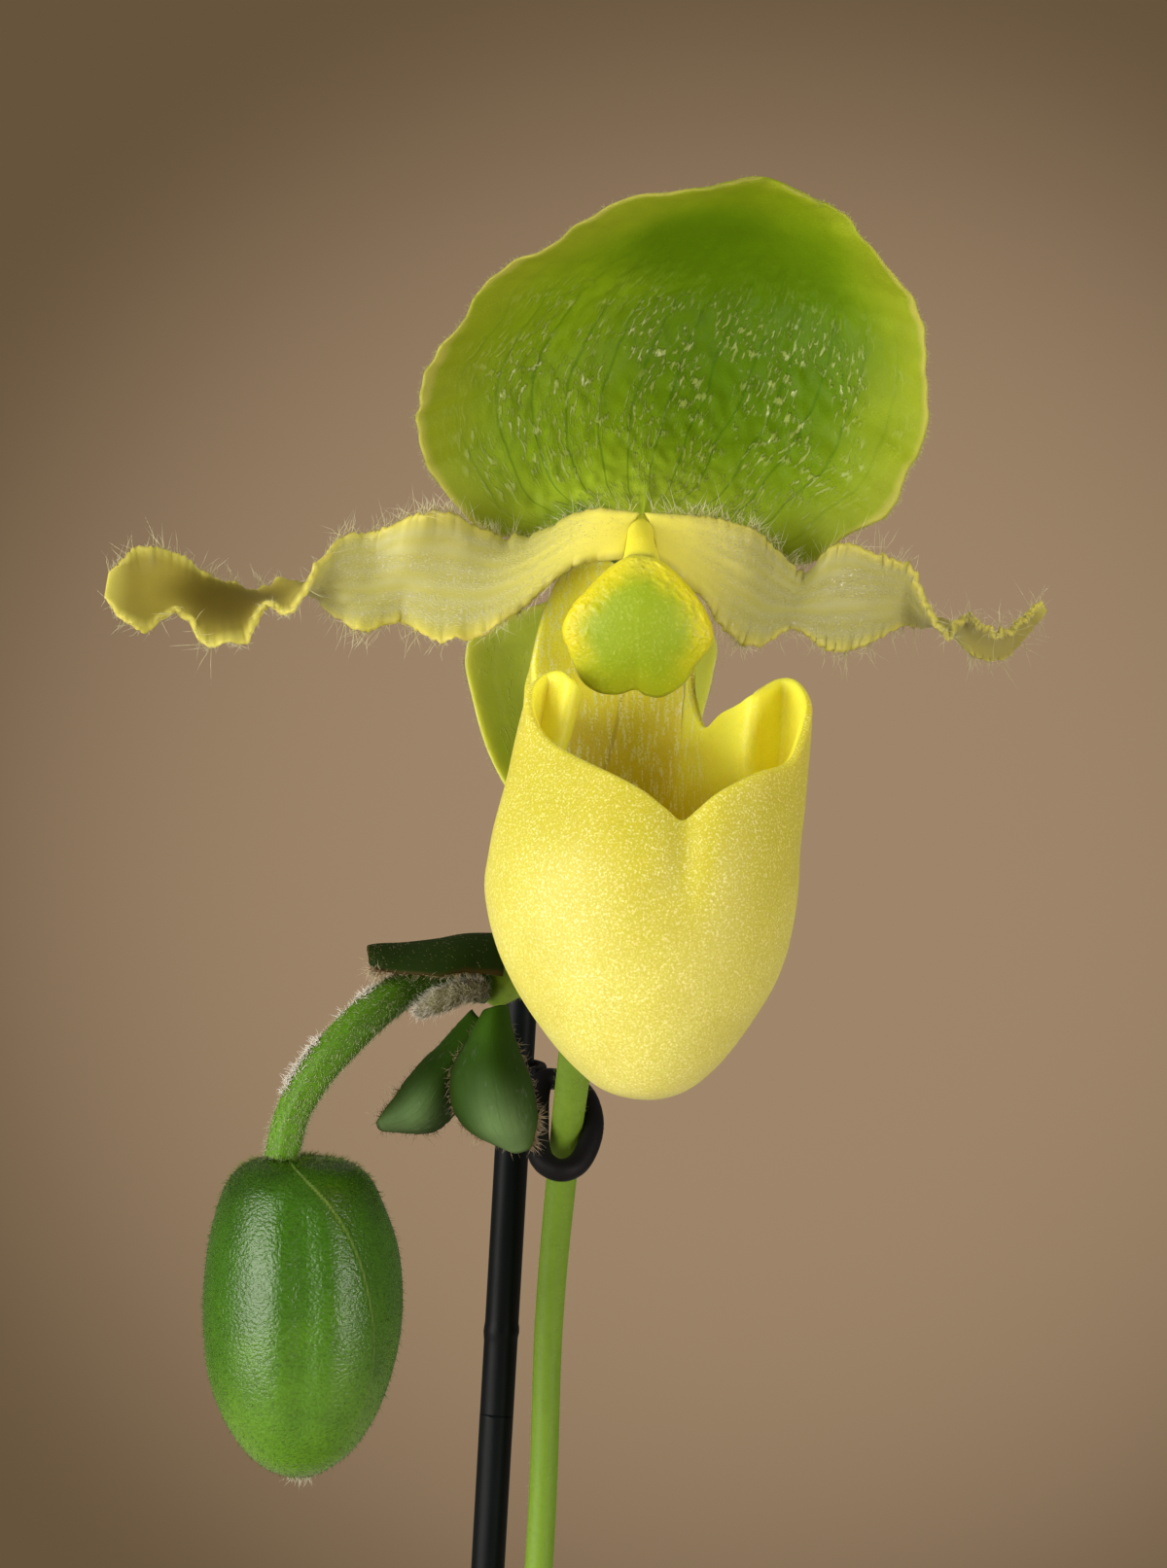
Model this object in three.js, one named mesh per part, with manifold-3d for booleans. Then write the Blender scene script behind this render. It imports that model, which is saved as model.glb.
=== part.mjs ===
// Potted slipper orchid: one open flower, a bud, bracts, a staked flower stem, strap leaves and a pot.
// Millimetres, +Z up. The origin is the centre of the pot's flat base and the flower looks toward -Y.
import * as THREE from "three";
import { mergeVertices } from "three/addons/utils/BufferGeometryUtils.js";
import Module from "manifold-3d";

const wasm = await Module();
wasm.setup();

// Clearances
const SEAT = 0.3; // left between two pieces that rest on or in each other
const TUNNEL = 0.35; // left round a root, the crown and the stake in the potting mix

// Pot
const POT_HEIGHT = 105;
const POT_BASE_RADIUS = 44;
const POT_TOP_RADIUS = 57;
const POT_WALL = 1.8;
const POT_FLOOR = 2.4;
const POT_RIM_HEIGHT = 14;
const POT_RIM_STEP = 3;
const POT_RIM_CHAMFER = 1;
const POT_SIDES = 40;
const DRAIN_HOLES = 8;
const DRAIN_RADIUS = 4;
const DRAIN_CIRCLE = 30;
const DRAIN_SIDES = 12;

// Potting mix
const MIX_SIDES = 20;
const MIX_TOP = 89;
const MIX_MOUND = 2;
const CHIP_RINGS = [
  { radius: 24, count: 7 },
  { radius: 35, count: 11 },
  { radius: 46.5, count: 19 },
];
const CHIP_SIZE = [15, 10, 6.5];
const CHIP_SEED = 11;
const CHIP_SIZE_SPREAD = 0.22; // share of the size that a chip may gain or lose
const CHIP_CORNER_SPREAD = [1.4, 1.1, 0.9]; // how far a chip's corners stray
const CHIP_TILT = [0.35, 0.3]; // radians, about its long and its short side
const CHIP_TURN_SPREAD = 0.35; // share of a chip's place in its ring
const CHIP_REACH_SPREAD = 1.5;
const CHIP_LIFT = 0.8;
const CHIP_LIFT_SPREAD = 1.1;

// Crown and roots
const CROWN_TOP = 95;
const CROWN_DEPTH = 13;
const CROWN_HALF_LENGTH = 15.5;
const CROWN_HALF_WIDTH = 10.5;
const CROWN_SIDES = 14;
const CROWN_DEPTHS = [0, 0.35, 0.75, 1]; // shares of its depth, for its rings of points
const CROWN_TAPER = 0.55; // share of its width that the crown loses on the way down
const CROWN_COLLAR = 1.5; // bare ring left round the crown in the chips
const ROOT_RADIUS = 1.9;
const ROOT_TAPER = 0.12; // lost at each row of a root's path

// Leaves
const LEAF_THICKNESS = 0.8;
const LEAF_HALF_WIDTH = 19;
const LEAF_BASE = CROWN_TOP + 2 * SEAT;
const LEAF_STEPS = 17;
const LEAF_STEPS_ACROSS = 4;
const LEAF_CROWDING = 1.3;
const LEAF_OPENING = 60; // length past the sheath over which the strap opens
const LEAF_UNFOLDING = 55; // length past the sheath over which the fold flattens
const LEAF_CLOSING = 45; // length past the sheath over which the keel's gap closes
const LEAF_ROLL = { start: 0.3, length: 0.6 }; // shares of the leaf over which the strap rolls
const SHEATH_WIDTH = { perGap: 1.5, more: 1.6 }; // each half's width at the base, from the gap it wraps
const LEAF_FOLD = { sheath: 1.5, strap: 0.3 }; // radians that each half rises from level
const LEAF_TIP = { start: 0.6, fullness: 2.2, bluntness: 0.6, narrowest: 0.05 };
const LEAF_WAVE = { height: 0.8, turns: 17, start: 0.4, fade: 0.3 };

// Flower parts
const TEPAL_THICKNESS = 0.8;
const LIP_THICKNESS = 0.9;
const BRACT_THICKNESS = 0.7;

// How far a surface is followed each way for its slope, as a share of its length
const NUDGE = 0.004;
const BAR_NUDGE = 0.01; // the same for the path of a bar or the keel of a leaf
const MARGIN_POWER = 4; // how close to the margin a wave stays
const WELD = 1e-4; // points closer than this are one

// Steps along and across each blade, and round each bar
const STEPS = { dorsal: [20, 10], synsepal: [12, 6], left: [34, 6], right: [32, 6], bract: [10, 6] };
const BAR_STEPS = 2; // between two rows of a bar
const ROOT_SIDES = 6;
const STEM_SIDES = 8;
const STALK_SIDES = 10;
const OVARY_SIDES = 12;

// The flower's own origin: the point where its petals meet.
const FLOWER = new THREE.Vector3(20, -24, 396);
const STEM_FOOT = [-FLOWER.x, -FLOWER.y, CROWN_TOP + SEAT - FLOWER.z];

// Helpers for numbers
function smooth(x) {
  const t = THREE.MathUtils.clamp(x, 0, 1);
  return t * t * (3 - 2 * t);
}

/** A smooth curve through rows of numbers. Its parameter, 0 to 1, takes an even step from row to row. */
function through(rows, closed = false) {
  const spans = closed ? rows.length : rows.length - 1;
  const mirrored = (end, next) => end.map((value, k) => 2 * value - next[k]);
  const row = (i) => {
    if (closed) return rows[(i + rows.length) % rows.length];
    if (i < 0) return mirrored(rows[0], rows[1]);
    if (i >= rows.length) return mirrored(rows.at(-1), rows.at(-2));
    return rows[i];
  };
  return (t) => {
    const place = THREE.MathUtils.clamp(t, 0, 1) * spans;
    const i = Math.min(Math.floor(place), spans - 1);
    const f = place - i;
    const [a, b, c, d] = [row(i - 1), row(i), row(i + 1), row(i + 2)];
    return b.map((value, k) => {
      const slope = 0.5 * (c[k] - a[k]);
      const nextSlope = 0.5 * (d[k] - value);
      const rise = c[k] - value;
      const square = 3 * rise - 2 * slope - nextSlope;
      const cube = slope + nextSlope - 2 * rise;
      return value + f * (slope + f * (square + f * cube));
    });
  };
}

/** Repeatable draws between -1 and 1. */
function draws(seed) {
  let state = seed;
  return () => {
    state = (state * 16807) % 2147483647;
    return (state / 2147483647) * 2 - 1;
  };
}

// Helpers for solids
/** A closed geometry from points and triangles, turned so that its faces point out. */
function solid(points, triangles) {
  const cross = new THREE.Vector3();
  let volume = 0;
  for (const [a, b, c] of triangles) {
    volume += points[a].dot(cross.crossVectors(points[b], points[c]));
  }
  const index = volume > 0 ? triangles.flat() : triangles.map(([a, b, c]) => [a, c, b]).flat();
  const geometry = new THREE.BufferGeometry().setFromPoints(points);
  geometry.setIndex(index);
  geometry.computeVertexNormals();
  return geometry;
}

/** A closed solid through rings of points. A ring of one point is a tip; any other end is closed flat. */
function skin(rings) {
  const points = [];
  const triangles = [];
  const starts = [];
  const ends = [...rings];
  const sum = (ring) => ring.reduce((total, p) => total.add(p), new THREE.Vector3());
  const centre = (ring) => sum(ring).divideScalar(ring.length);
  const pair = (i, j, k) => (ends[i].length > 1 ? [starts[i] + j, starts[i] + k] : [starts[i], starts[i]]);
  if (ends[0].length > 1) ends.unshift([centre(ends[0])]);
  if (ends.at(-1).length > 1) ends.push([centre(ends.at(-1))]);
  for (const ring of ends) {
    starts.push(points.length);
    points.push(...ring);
  }
  for (let i = 0; i + 1 < ends.length; i++) {
    const sides = Math.max(ends[i].length, ends[i + 1].length);
    for (let j = 0; j < sides; j++) {
      const k = (j + 1) % sides;
      const [a, b] = pair(i, j, k);
      const [c, d] = pair(i + 1, j, k);
      if (a !== b) triangles.push([a, b, d]);
      if (c !== d) triangles.push([a, d, c]);
    }
  }
  return solid(points, triangles);
}

/** The direction that the surface at(u, v) faces, u from 0 to 1 and v from -1 to 1. */
function facing(at, u, v) {
  const along = at(Math.min(u + NUDGE, 1), v).sub(at(Math.max(u - NUDGE, 0), v));
  const across = at(u, Math.min(v + NUDGE, 1)).sub(at(u, Math.max(v - NUDGE, -1)));
  return along.cross(across).normalize();
}

/** A closed sheet of even thickness on the surface at(u, v).
 * A crowding above 1 packs the steps along it closer at its base. */
function blade(at, [alongSteps, acrossSteps], thickness, crowding = 1) {
  const faces = [[], []];
  for (let i = 0; i <= alongSteps; i++) {
    for (let j = 0; j <= acrossSteps; j++) {
      const u = (i / alongSteps) ** crowding;
      const v = -1 + (2 * j) / acrossSteps;
      const half = facing(at, u, v).multiplyScalar(thickness / 2);
      const p = at(u, v);
      faces[0].push(p.clone().add(half));
      faces[1].push(p.clone().sub(half));
    }
  }
  const row = acrossSteps + 1;
  const below = faces[0].length;
  const triangles = [];
  const patch = (a, b, c, d) => triangles.push([a, b, c], [a, c, d]);
  for (let i = 0; i < alongSteps; i++) {
    for (let j = 0; j < acrossSteps; j++) {
      const a = i * row + j;
      const under = a + below;
      patch(a, a + row, a + row + 1, a + 1);
      patch(under, under + 1, under + row + 1, under + row);
    }
  }
  const edge = [];
  for (let j = 0; j < acrossSteps; j++) edge.push(j);
  for (let i = 0; i < alongSteps; i++) edge.push(i * row + acrossSteps);
  for (let j = acrossSteps; j > 0; j--) edge.push(alongSteps * row + j);
  for (let i = alongSteps; i > 0; i--) edge.push(i * row);
  edge.forEach((a, n) => {
    const b = edge[(n + 1) % edge.length];
    patch(a, b, b + below, a + below);
  });
  return solid([...faces[0], ...faces[1]], triangles);
}

/** The surface of a petal, sepal or bract: rows of its two margins and its midrib, joined across by a curve. */
function between(left, middle, right) {
  const [curveL, curveM, curveR] = [through(left), through(middle), through(right)];
  return (u, v) => {
    const [l, m, r] = [curveL(u), curveM(u), curveR(u)];
    const [shareL, shareM, shareR] = [(v * (v - 1)) / 2, 1 - v * v, (v * (v + 1)) / 2];
    return new THREE.Vector3(...m.map((value, k) => l[k] * shareL + value * shareM + r[k] * shareR));
  };
}

/** The surface at(u, v) with a waved margin: waves of the given height, strongest at the two edges,
 * that start past the share `base` of its length, end by the share `tip` before its end and differ
 * between the two edges by `lag` radians. */
function waved(at, { waves, height, base, tip, lag }) {
  return (u, v) => {
    const fade = smooth(u / base) * smooth((1 - u) / tip) * v ** MARGIN_POWER;
    const lift = height * fade * Math.sin(2 * Math.PI * waves * u + lag * v);
    return at(u, v).addScaledVector(facing(at, u, v), lift);
  };
}

/** A round bar along rows of [x, y, z, radius]; grow fattens and lengthens it, and a closed one is a ring. */
function bar(rows, stepsPerRow, sides, grow = 0, closed = false) {
  const path = through(rows, closed);
  const count = (closed ? rows.length : rows.length - 1) * stepsPerRow;
  const point = (t) => new THREE.Vector3(...path(closed ? (t + 1) % 1 : t));
  const rings = [];
  let side = new THREE.Vector3(1, 0, 0);
  for (let i = 0; i <= count - (closed ? 1 : 0); i++) {
    const t = i / count;
    const [x, y, z, radius] = path(t);
    const forward = point(t + BAR_NUDGE).sub(point(t - BAR_NUDGE)).normalize();
    side = side.clone().addScaledVector(forward, -side.dot(forward)).normalize();
    const up = forward.clone().cross(side);
    const stretch = closed ? 0 : grow * (i === count ? 1 : i === 0 ? -1 : 0);
    const ring = [];
    for (let j = 0; j < sides; j++) {
      const angle = (2 * Math.PI * j) / sides;
      ring.push(
        new THREE.Vector3(x, y, z)
          .addScaledVector(forward, stretch)
          .addScaledVector(side, (radius + grow) * Math.cos(angle))
          .addScaledVector(up, (radius + grow) * Math.sin(angle)),
      );
    }
    rings.push(ring);
  }
  return closed ? torus(rings) : skin(rings);
}

/** A solid through rings of points whose last ring meets the first, turned by whole steps if needed. */
function torus(rings) {
  const sides = rings[0].length;
  const last = rings.at(-1);
  const gapAt = (shift) => last.reduce((sum, p, j) => sum + p.distanceTo(rings[0][(j + shift) % sides]), 0);
  const shifts = rings[0].map((_, shift) => gapAt(shift));
  const turn = shifts.indexOf(Math.min(...shifts));
  const triangles = [];
  rings.forEach((_, i) => {
    const next = (i + 1) % rings.length;
    const shift = next === 0 ? turn : 0;
    for (let j = 0; j < sides; j++) {
      const a = i * sides + j;
      const b = i * sides + ((j + 1) % sides);
      const c = next * sides + ((j + shift) % sides);
      const d = next * sides + ((j + 1 + shift) % sides);
      triangles.push([a, b, d], [a, d, c]);
    }
  });
  return solid(rings.flat(), triangles);
}

/** A turned solid: the profile is a closed outline of [radius, height]. */
function turned(profile, sides) {
  const outline = [...profile, profile[0]].map(([radius, height]) => new THREE.Vector2(radius, height));
  return new THREE.LatheGeometry(outline, sides).rotateX(Math.PI / 2);
}

// Helpers for cuts and joins
function manifold(geometry) {
  const bare = geometry.clone();
  bare.deleteAttribute("normal");
  bare.deleteAttribute("uv");
  const merged = mergeVertices(bare, WELD);
  const corners = [];
  for (let i = 0; i < merged.index.count; i += 3) {
    const [a, b, c] = [0, 1, 2].map((k) => merged.index.getX(i + k));
    if (a !== b && b !== c && c !== a) corners.push(a, b, c);
  }
  return new wasm.Manifold(
    new wasm.Mesh({
      numProp: 3,
      vertProperties: Float32Array.from(merged.attributes.position.array),
      triVerts: Uint32Array.from(corners),
    }),
  );
}

function fromManifold(body) {
  const mesh = body.getMesh();
  const geometry = new THREE.BufferGeometry();
  geometry.setAttribute("position", new THREE.Float32BufferAttribute(mesh.vertProperties, 3));
  geometry.setIndex([...mesh.triVerts]);
  geometry.computeVertexNormals();
  return geometry;
}

function join(...geometries) {
  return fromManifold(geometries.map(manifold).reduce((whole, piece) => whole.add(piece)));
}

function cut(geometry, ...cutters) {
  const body = manifold(geometry);
  return fromManifold(cutters.map(manifold).reduce((rest, cutter) => rest.subtract(cutter), body));
}

function within(geometry, mould) {
  return fromManifold(manifold(geometry).intersect(manifold(mould)));
}

/** The largest connected surface of a solid: its sealed pockets are filled and loose scraps dropped. */
function whole(geometry) {
  const pieces = manifold(geometry).decompose();
  return fromManifold(pieces.reduce((best, piece) => (piece.volume() > best.volume() ? piece : best)));
}

// Surfaces and colours
function finish(color, roughness) {
  return new THREE.MeshStandardMaterial({ color, roughness, metalness: 0, side: THREE.DoubleSide });
}

const FINISHES = {
  pot: () => finish("#8a4f36", 0.7),
  bark: () => finish("#6b4a30", 0.95),
  root: () => finish("#b9a98a", 0.9),
  leaf: () => finish("#2f5f2a", 0.45),
  stem: () => finish("#6f9a22", 0.55),
  stake: () => finish("#06181a", 0.4),
  clip: () => finish("#1a1620", 0.5),
  sepal: () => finish("#6f9a1e", 0.5),
  synsepal: () => finish("#6f8f33", 0.55),
  petal: () => finish("#c9c878", 0.55),
  lip: () => finish("#e0d84a", 0.5),
  column: () => finish("#a8c020", 0.45),
  bract: () => finish("#2f5a1e", 0.7),
  wool: () => finish("#a8a48c", 0.95),
  bud: () => finish("#4f9018", 0.35),
};

const orchid = new THREE.Group();
const flower = new THREE.Group();
flower.position.copy(FLOWER);
orchid.add(flower);

function place(parent, name, geometry, material) {
  const mesh = new THREE.Mesh(geometry, material);
  mesh.name = name;
  parent.add(mesh);
}

// Pot: a tapered wall with a stepped rim band, a flat floor and a ring of drain holes
const taper = (POT_TOP_RADIUS - POT_BASE_RADIUS) / POT_HEIGHT;
const outerRadius = (z) => POT_BASE_RADIUS + taper * z;
const innerRadius = (z) => outerRadius(z) - POT_WALL;
const rimFoot = POT_HEIGHT - POT_RIM_HEIGHT;

function pot() {
  const shell = turned(
    [
      [0, 0],
      [POT_BASE_RADIUS, 0],
      [outerRadius(rimFoot), rimFoot],
      [outerRadius(rimFoot) + POT_RIM_STEP, rimFoot + POT_RIM_CHAMFER],
      [POT_TOP_RADIUS + POT_RIM_STEP, POT_HEIGHT - POT_RIM_CHAMFER],
      [POT_TOP_RADIUS + POT_RIM_STEP - POT_RIM_CHAMFER, POT_HEIGHT],
      [innerRadius(POT_HEIGHT), POT_HEIGHT],
      [innerRadius(POT_FLOOR), POT_FLOOR],
      [0, POT_FLOOR],
    ],
    POT_SIDES,
  );
  const holes = Array.from({ length: DRAIN_HOLES }, (_, i) => {
    const angle = (2 * Math.PI * i) / DRAIN_HOLES;
    const drill = new THREE.CylinderGeometry(DRAIN_RADIUS, DRAIN_RADIUS, 4 * POT_FLOOR, DRAIN_SIDES);
    drill.rotateX(Math.PI / 2);
    return drill.translate(DRAIN_CIRCLE * Math.cos(angle), DRAIN_CIRCLE * Math.sin(angle), POT_FLOOR / 2);
  });
  return cut(shell, ...holes);
}

// Crown: the short rootstock that the leaves grow from, with fleshy roots that run down into the mix
function crown(grow = 0) {
  const rings = CROWN_DEPTHS.map((depth) => {
    const swell = 1 - CROWN_TAPER * depth * depth;
    const z = CROWN_TOP - CROWN_DEPTH * depth + (depth === 0 ? grow : -grow);
    return Array.from({ length: CROWN_SIDES }, (_, j) => {
      const angle = (2 * Math.PI * j) / CROWN_SIDES;
      const x = (CROWN_HALF_LENGTH * swell + grow) * Math.cos(angle);
      const y = (CROWN_HALF_WIDTH * swell + grow) * Math.sin(angle);
      return new THREE.Vector3(x, y, z);
    });
  });
  return skin(rings);
}

const ROOT_PATHS = [
  [[9, 1, 88], [19, 3, 84], [28, 8, 68], [31, 14, 48], [27, 20, 30]],
  [[-9, 2, 88], [-20, 4, 85], [-30, 3, 70], [-34, -5, 50], [-30, -14, 30]],
  [[3, -6, 88], [6, -16, 83], [8, -27, 70], [3, -34, 52], [-6, -33, 34]],
  [[-4, 5, 88], [-11, 13, 80], [-20, 19, 62], [-24, 22, 42], [-18, 26, 24]],
  [[1, 1, 86], [2, 2, 70], [6, -2, 52], [3, -8, 34], [8, -12, 18]],
];

function roots(grow = 0) {
  return ROOT_PATHS.map((path) => {
    const rows = path.map(([x, y, z], i) => [x, y, z, ROOT_RADIUS - ROOT_TAPER * i]);
    return bar(rows, BAR_STEPS, ROOT_SIDES, grow);
  });
}

function crownAndRoots() {
  return join(crown(), ...roots());
}

// Stake: a slim rod pushed into the mix behind the fan, leaning with the flower stem
const STAKE_RADIUS = 1.5;
const STAKE_SIDES = 12;
const STAKE_FOOT = new THREE.Vector3(-29.1, 48.5, -368);
const STAKE_MIDDLE = new THREE.Vector3(-13.4, 30, -93);
const STAKE_HEAD = new THREE.Vector3(-9.7, 26, -29);
const STAKE_TIP = [-9.6, 25.9, -28, 0.9];

function stake(grow = 0) {
  const halfway = STAKE_FOOT.clone().lerp(STAKE_MIDDLE, 0.5);
  const shaft = [STAKE_FOOT, halfway, STAKE_MIDDLE, STAKE_HEAD].map((p) => [...p.toArray(), STAKE_RADIUS]);
  return bar([...shaft, STAKE_TIP], 1, STAKE_SIDES, grow);
}

// Potting mix: a plug that fills the pot, with a layer of bark chips grown into its top
function chip(draw) {
  const size = CHIP_SIZE.map((side) => side * (1 + CHIP_SIZE_SPREAD * draw()));
  const block = new THREE.BoxGeometry(...size).toNonIndexed();
  block.deleteAttribute("normal");
  block.deleteAttribute("uv");
  const body = mergeVertices(block, WELD);
  const corners = body.attributes.position;
  for (let k = 0; k < corners.count; k++) {
    const corner = new THREE.Vector3().fromBufferAttribute(corners, k).toArray();
    corners.setXYZ(k, ...corner.map((value, axis) => value + CHIP_CORNER_SPREAD[axis] * draw()));
  }
  const [tilt, slant] = CHIP_TILT;
  return body.rotateX(tilt * draw()).rotateY(slant * draw()).rotateZ(Math.PI * draw());
}

function mix() {
  const bottom = POT_FLOOR + SEAT;
  const gap = POT_WALL + SEAT;
  const plug = turned(
    [
      [0, bottom],
      [outerRadius(bottom) - gap - SEAT, bottom],
      [outerRadius(MIX_TOP) - gap - SEAT, MIX_TOP],
      [CROWN_HALF_LENGTH, MIX_TOP + MIX_MOUND],
      [0, MIX_TOP + MIX_MOUND],
    ],
    MIX_SIDES,
  );
  const mould = turned(
    [
      [0, bottom],
      [outerRadius(bottom) - gap, bottom],
      [outerRadius(POT_HEIGHT) - gap, POT_HEIGHT],
      [0, POT_HEIGHT],
    ],
    MIX_SIDES,
  );
  const draw = draws(CHIP_SEED);
  const chips = CHIP_RINGS.flatMap(({ radius, count }) =>
    Array.from({ length: count }, (_, i) => {
      const body = chip(draw);
      const angle = (2 * Math.PI * (i + CHIP_TURN_SPREAD * draw())) / count;
      const reach = radius + CHIP_REACH_SPREAD * draw();
      const lift = CHIP_LIFT + CHIP_LIFT_SPREAD * draw();
      return body.translate(reach * Math.cos(angle), reach * Math.sin(angle), MIX_TOP + lift);
    }),
  );
  const collar = new THREE.CylinderGeometry(1, 1, POT_HEIGHT - MIX_TOP, CROWN_SIDES).rotateX(Math.PI / 2);
  collar.scale(CROWN_HALF_LENGTH + CROWN_COLLAR, CROWN_HALF_WIDTH + CROWN_COLLAR, 1);
  collar.translate(0, 0, MIX_TOP + MIX_MOUND + (POT_HEIGHT - MIX_TOP) / 2);
  const inPot = stake(TUNNEL).translate(...FLOWER.toArray());
  return whole(cut(within(join(plug, ...chips), mould), collar, crown(TUNNEL), ...roots(TUNNEL), inPot));
}

// Leaves: a two-ranked fan. Each is folded round the younger ones at its base and opens into an arched strap.
// Rows are [distance from the crown's centre, height] along the keel.
const LEAVES = [
  {
    side: 1, drift: 0.1, gap: 3, sheath: 40, roll: 0.1,
    keel: [[4.4, 0], [6.2, 30], [12.4, 60], [28, 94], [56, 114], [88, 116]],
  },
  {
    side: -1, drift: -0.12, gap: 4.2, sheath: 33, roll: -0.12,
    keel: [[6.4, 0], [8.4, 26], [16.6, 56], [37, 86], [68, 101], [102, 96]],
  },
  {
    side: 1, drift: -0.16, gap: 5.4, sheath: 26, roll: -0.15,
    keel: [[8.4, 0], [11, 22], [22.6, 50], [50, 74], [90, 82], [128, 70]],
  },
  {
    side: -1, drift: 0.18, gap: 6.6, sheath: 19, roll: 0.12,
    keel: [[10.2, 0], [13.2, 18], [27.6, 43], [58, 64], [98, 70], [137, 57]],
  },
  {
    side: 1, drift: 0.2, gap: 7.8, sheath: 12, roll: 0.1,
    keel: [[12.2, 0], [16.2, 14], [36.6, 35], [72, 50], [112, 50], [149, 33]],
  },
  {
    side: -1, drift: -0.14, gap: 9, sheath: 6, roll: -0.1,
    keel: [[14, 0], [20.2, 12], [44.6, 29], [82, 40], [121, 34], [156, 14]],
  },
];

function leaf({ side, drift, gap, sheath, roll, keel }) {
  const path = through(keel);
  const sheathWidth = SHEATH_WIDTH.perGap * gap + SHEATH_WIDTH.more;
  const pastSheath = (u) => {
    const [reach, height] = path(u);
    return Math.hypot(reach - keel[0][0], height) - sheath;
  };
  const axis = (u) => {
    const [reach, height] = path(u);
    const swing = drift * smooth(pastSheath(u) / LEAF_OPENING);
    return new THREE.Vector3(side * reach, (reach - keel[0][0]) * swing, LEAF_BASE + height);
  };
  const surface = (u, v) => {
    const beyond = pastSheath(u);
    const open = smooth(beyond / LEAF_OPENING);
    const forward = axis(Math.min(u + BAR_NUDGE, 1)).sub(axis(Math.max(u - BAR_NUDGE, 0))).normalize();
    const across = new THREE.Vector3(-drift * open, side, 0).normalize();
    const level = across.applyAxisAngle(forward, roll * smooth((u - LEAF_ROLL.start) / LEAF_ROLL.length));
    const inward = forward.clone().cross(level).normalize();
    const ending = Math.max((u - LEAF_TIP.start) / (1 - LEAF_TIP.start), 0) ** LEAF_TIP.fullness;
    const tip = Math.max(Math.max(1 - ending, 0) ** LEAF_TIP.bluntness, LEAF_TIP.narrowest);
    const width = THREE.MathUtils.lerp(sheathWidth, LEAF_HALF_WIDTH, open) * tip;
    const fold = THREE.MathUtils.lerp(LEAF_FOLD.sheath, LEAF_FOLD.strap, smooth(beyond / LEAF_UNFOLDING));
    const spread = gap * (1 - smooth(beyond / LEAF_CLOSING));
    const q = Math.abs(v);
    const sideways = Math.sign(v) * (spread * Math.min(2 * q, 1) + width * q * Math.cos(fold));
    const ripple = Math.sin(LEAF_WAVE.turns * u + 2 * v + side);
    const wave = LEAF_WAVE.height * q * q * ripple * smooth((u - LEAF_WAVE.start) / LEAF_WAVE.fade);
    return axis(u)
      .addScaledVector(level, sideways)
      .addScaledVector(inward, width * q * Math.sin(fold) + wave);
  };
  return blade(surface, [LEAF_STEPS, LEAF_STEPS_ACROSS], LEAF_THICKNESS, LEAF_CROWDING);
}

// Flower stem and zigzag rachis, from the crown to the stub that carries the bud; the flower's own frame
const STEM_ROWS = [
  [...STEM_FOOT, 1.6],
  [-18.4, 25.4, -250, 1.5],
  [-15.2, 26.8, -190, 1.4],
  [-11.7, 27.2, -135, 1.3],
  [-8.8, 26.2, -92, 1.25],
  [-7.9, 24.8, -70, 1.25],
  [-6.6, 22.2, -55, 1.35],
  [-5.6, 19.6, -46, 1.5],
  [-4.8, 17, -39.4, 1.6],
  [-6.2, 13.8, -36.9, 1.6],
  [-9.4, 10, -37.1, 1.5],
  [-12.4, 6.8, -38.1, 1.5],
];

function stem(grow = 0) {
  return bar(STEM_ROWS, BAR_STEPS, STEM_SIDES, grow);
}

// Ovary: the stalk of the open flower, arching up behind it to the back of the column
const OVARY_ROWS = [
  [-4.5, 17.2, -37.4, 1.5],
  [-3.4, 20.4, -27, 1.9],
  [-1.8, 20.6, -17, 2.3],
  [-0.6, 16.6, -8, 2.4],
  [-0.1, 10.6, -2.2, 2.3],
  [0, 5.15, -0.5, 2.3],
];

function flowerOvary(grow = 0) {
  return bar(OVARY_ROWS, BAR_STEPS, OVARY_SIDES, grow);
}

// Column: the neck between the petals, with the heart-shaped shield hanging at its end
const NECK_ROWS = [
  [0, 4.6, -0.4, 1.5],
  [-0.2, 1, 0.2, 1.4],
  [-0.2, -2.5, 0.5, 1.3],
  [-0.1, -5.2, -1.2, 1.5],
  [-0.2, -6.6, -4.2, 1.6],
];
const SHIELD_CENTRE = new THREE.Vector3(-0.4, 0, -6.7);
// Outline of the shield as [x, z] round its centre, from the top toward the viewer's right
const SHIELD_OUTLINE = [
  [0.1, 6.3],
  [2.3, 5.4],
  [4.2, 3.6],
  [5.6, 1.6],
  [6.2, -0.2],
  [5.9, -1.5],
  [4.8, -2.9],
  [3.8, -4.5],
  [2.1, -5.6],
  [0.7, -5.5],
  [-0.2, -5],
  [-1.6, -5.4],
  [-3.3, -5.2],
  [-4.7, -4.1],
  [-5.5, -2.1],
  [-6.2, 0.1],
  [-5.3, 2.1],
  [-4, 3.5],
  [-2.2, 5.2],
];
const SHIELD_SIDES = 30;
const SHIELD_THICKNESS = 1.2;
const SHIELD_FACE = -7.6; // y of the shield's face at its flattest level
const SHIELD_DOME = 1.2; // how far its middle stands out
const SHIELD_EDGE = 0.35; // how far its rim falls back
// The shield bows back above and below its flattest level, less so below it.
const SHIELD_BOW = { level: 2, above: 0.055, below: 0.03 };
const SHIELD_FRONT_SHARES = [0.35, 0.7, 0.93]; // of the outline, for the rings of points of its face
const SHIELD_BACK_SHARES = { rim: 0.98, middle: 0.5 };

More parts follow.
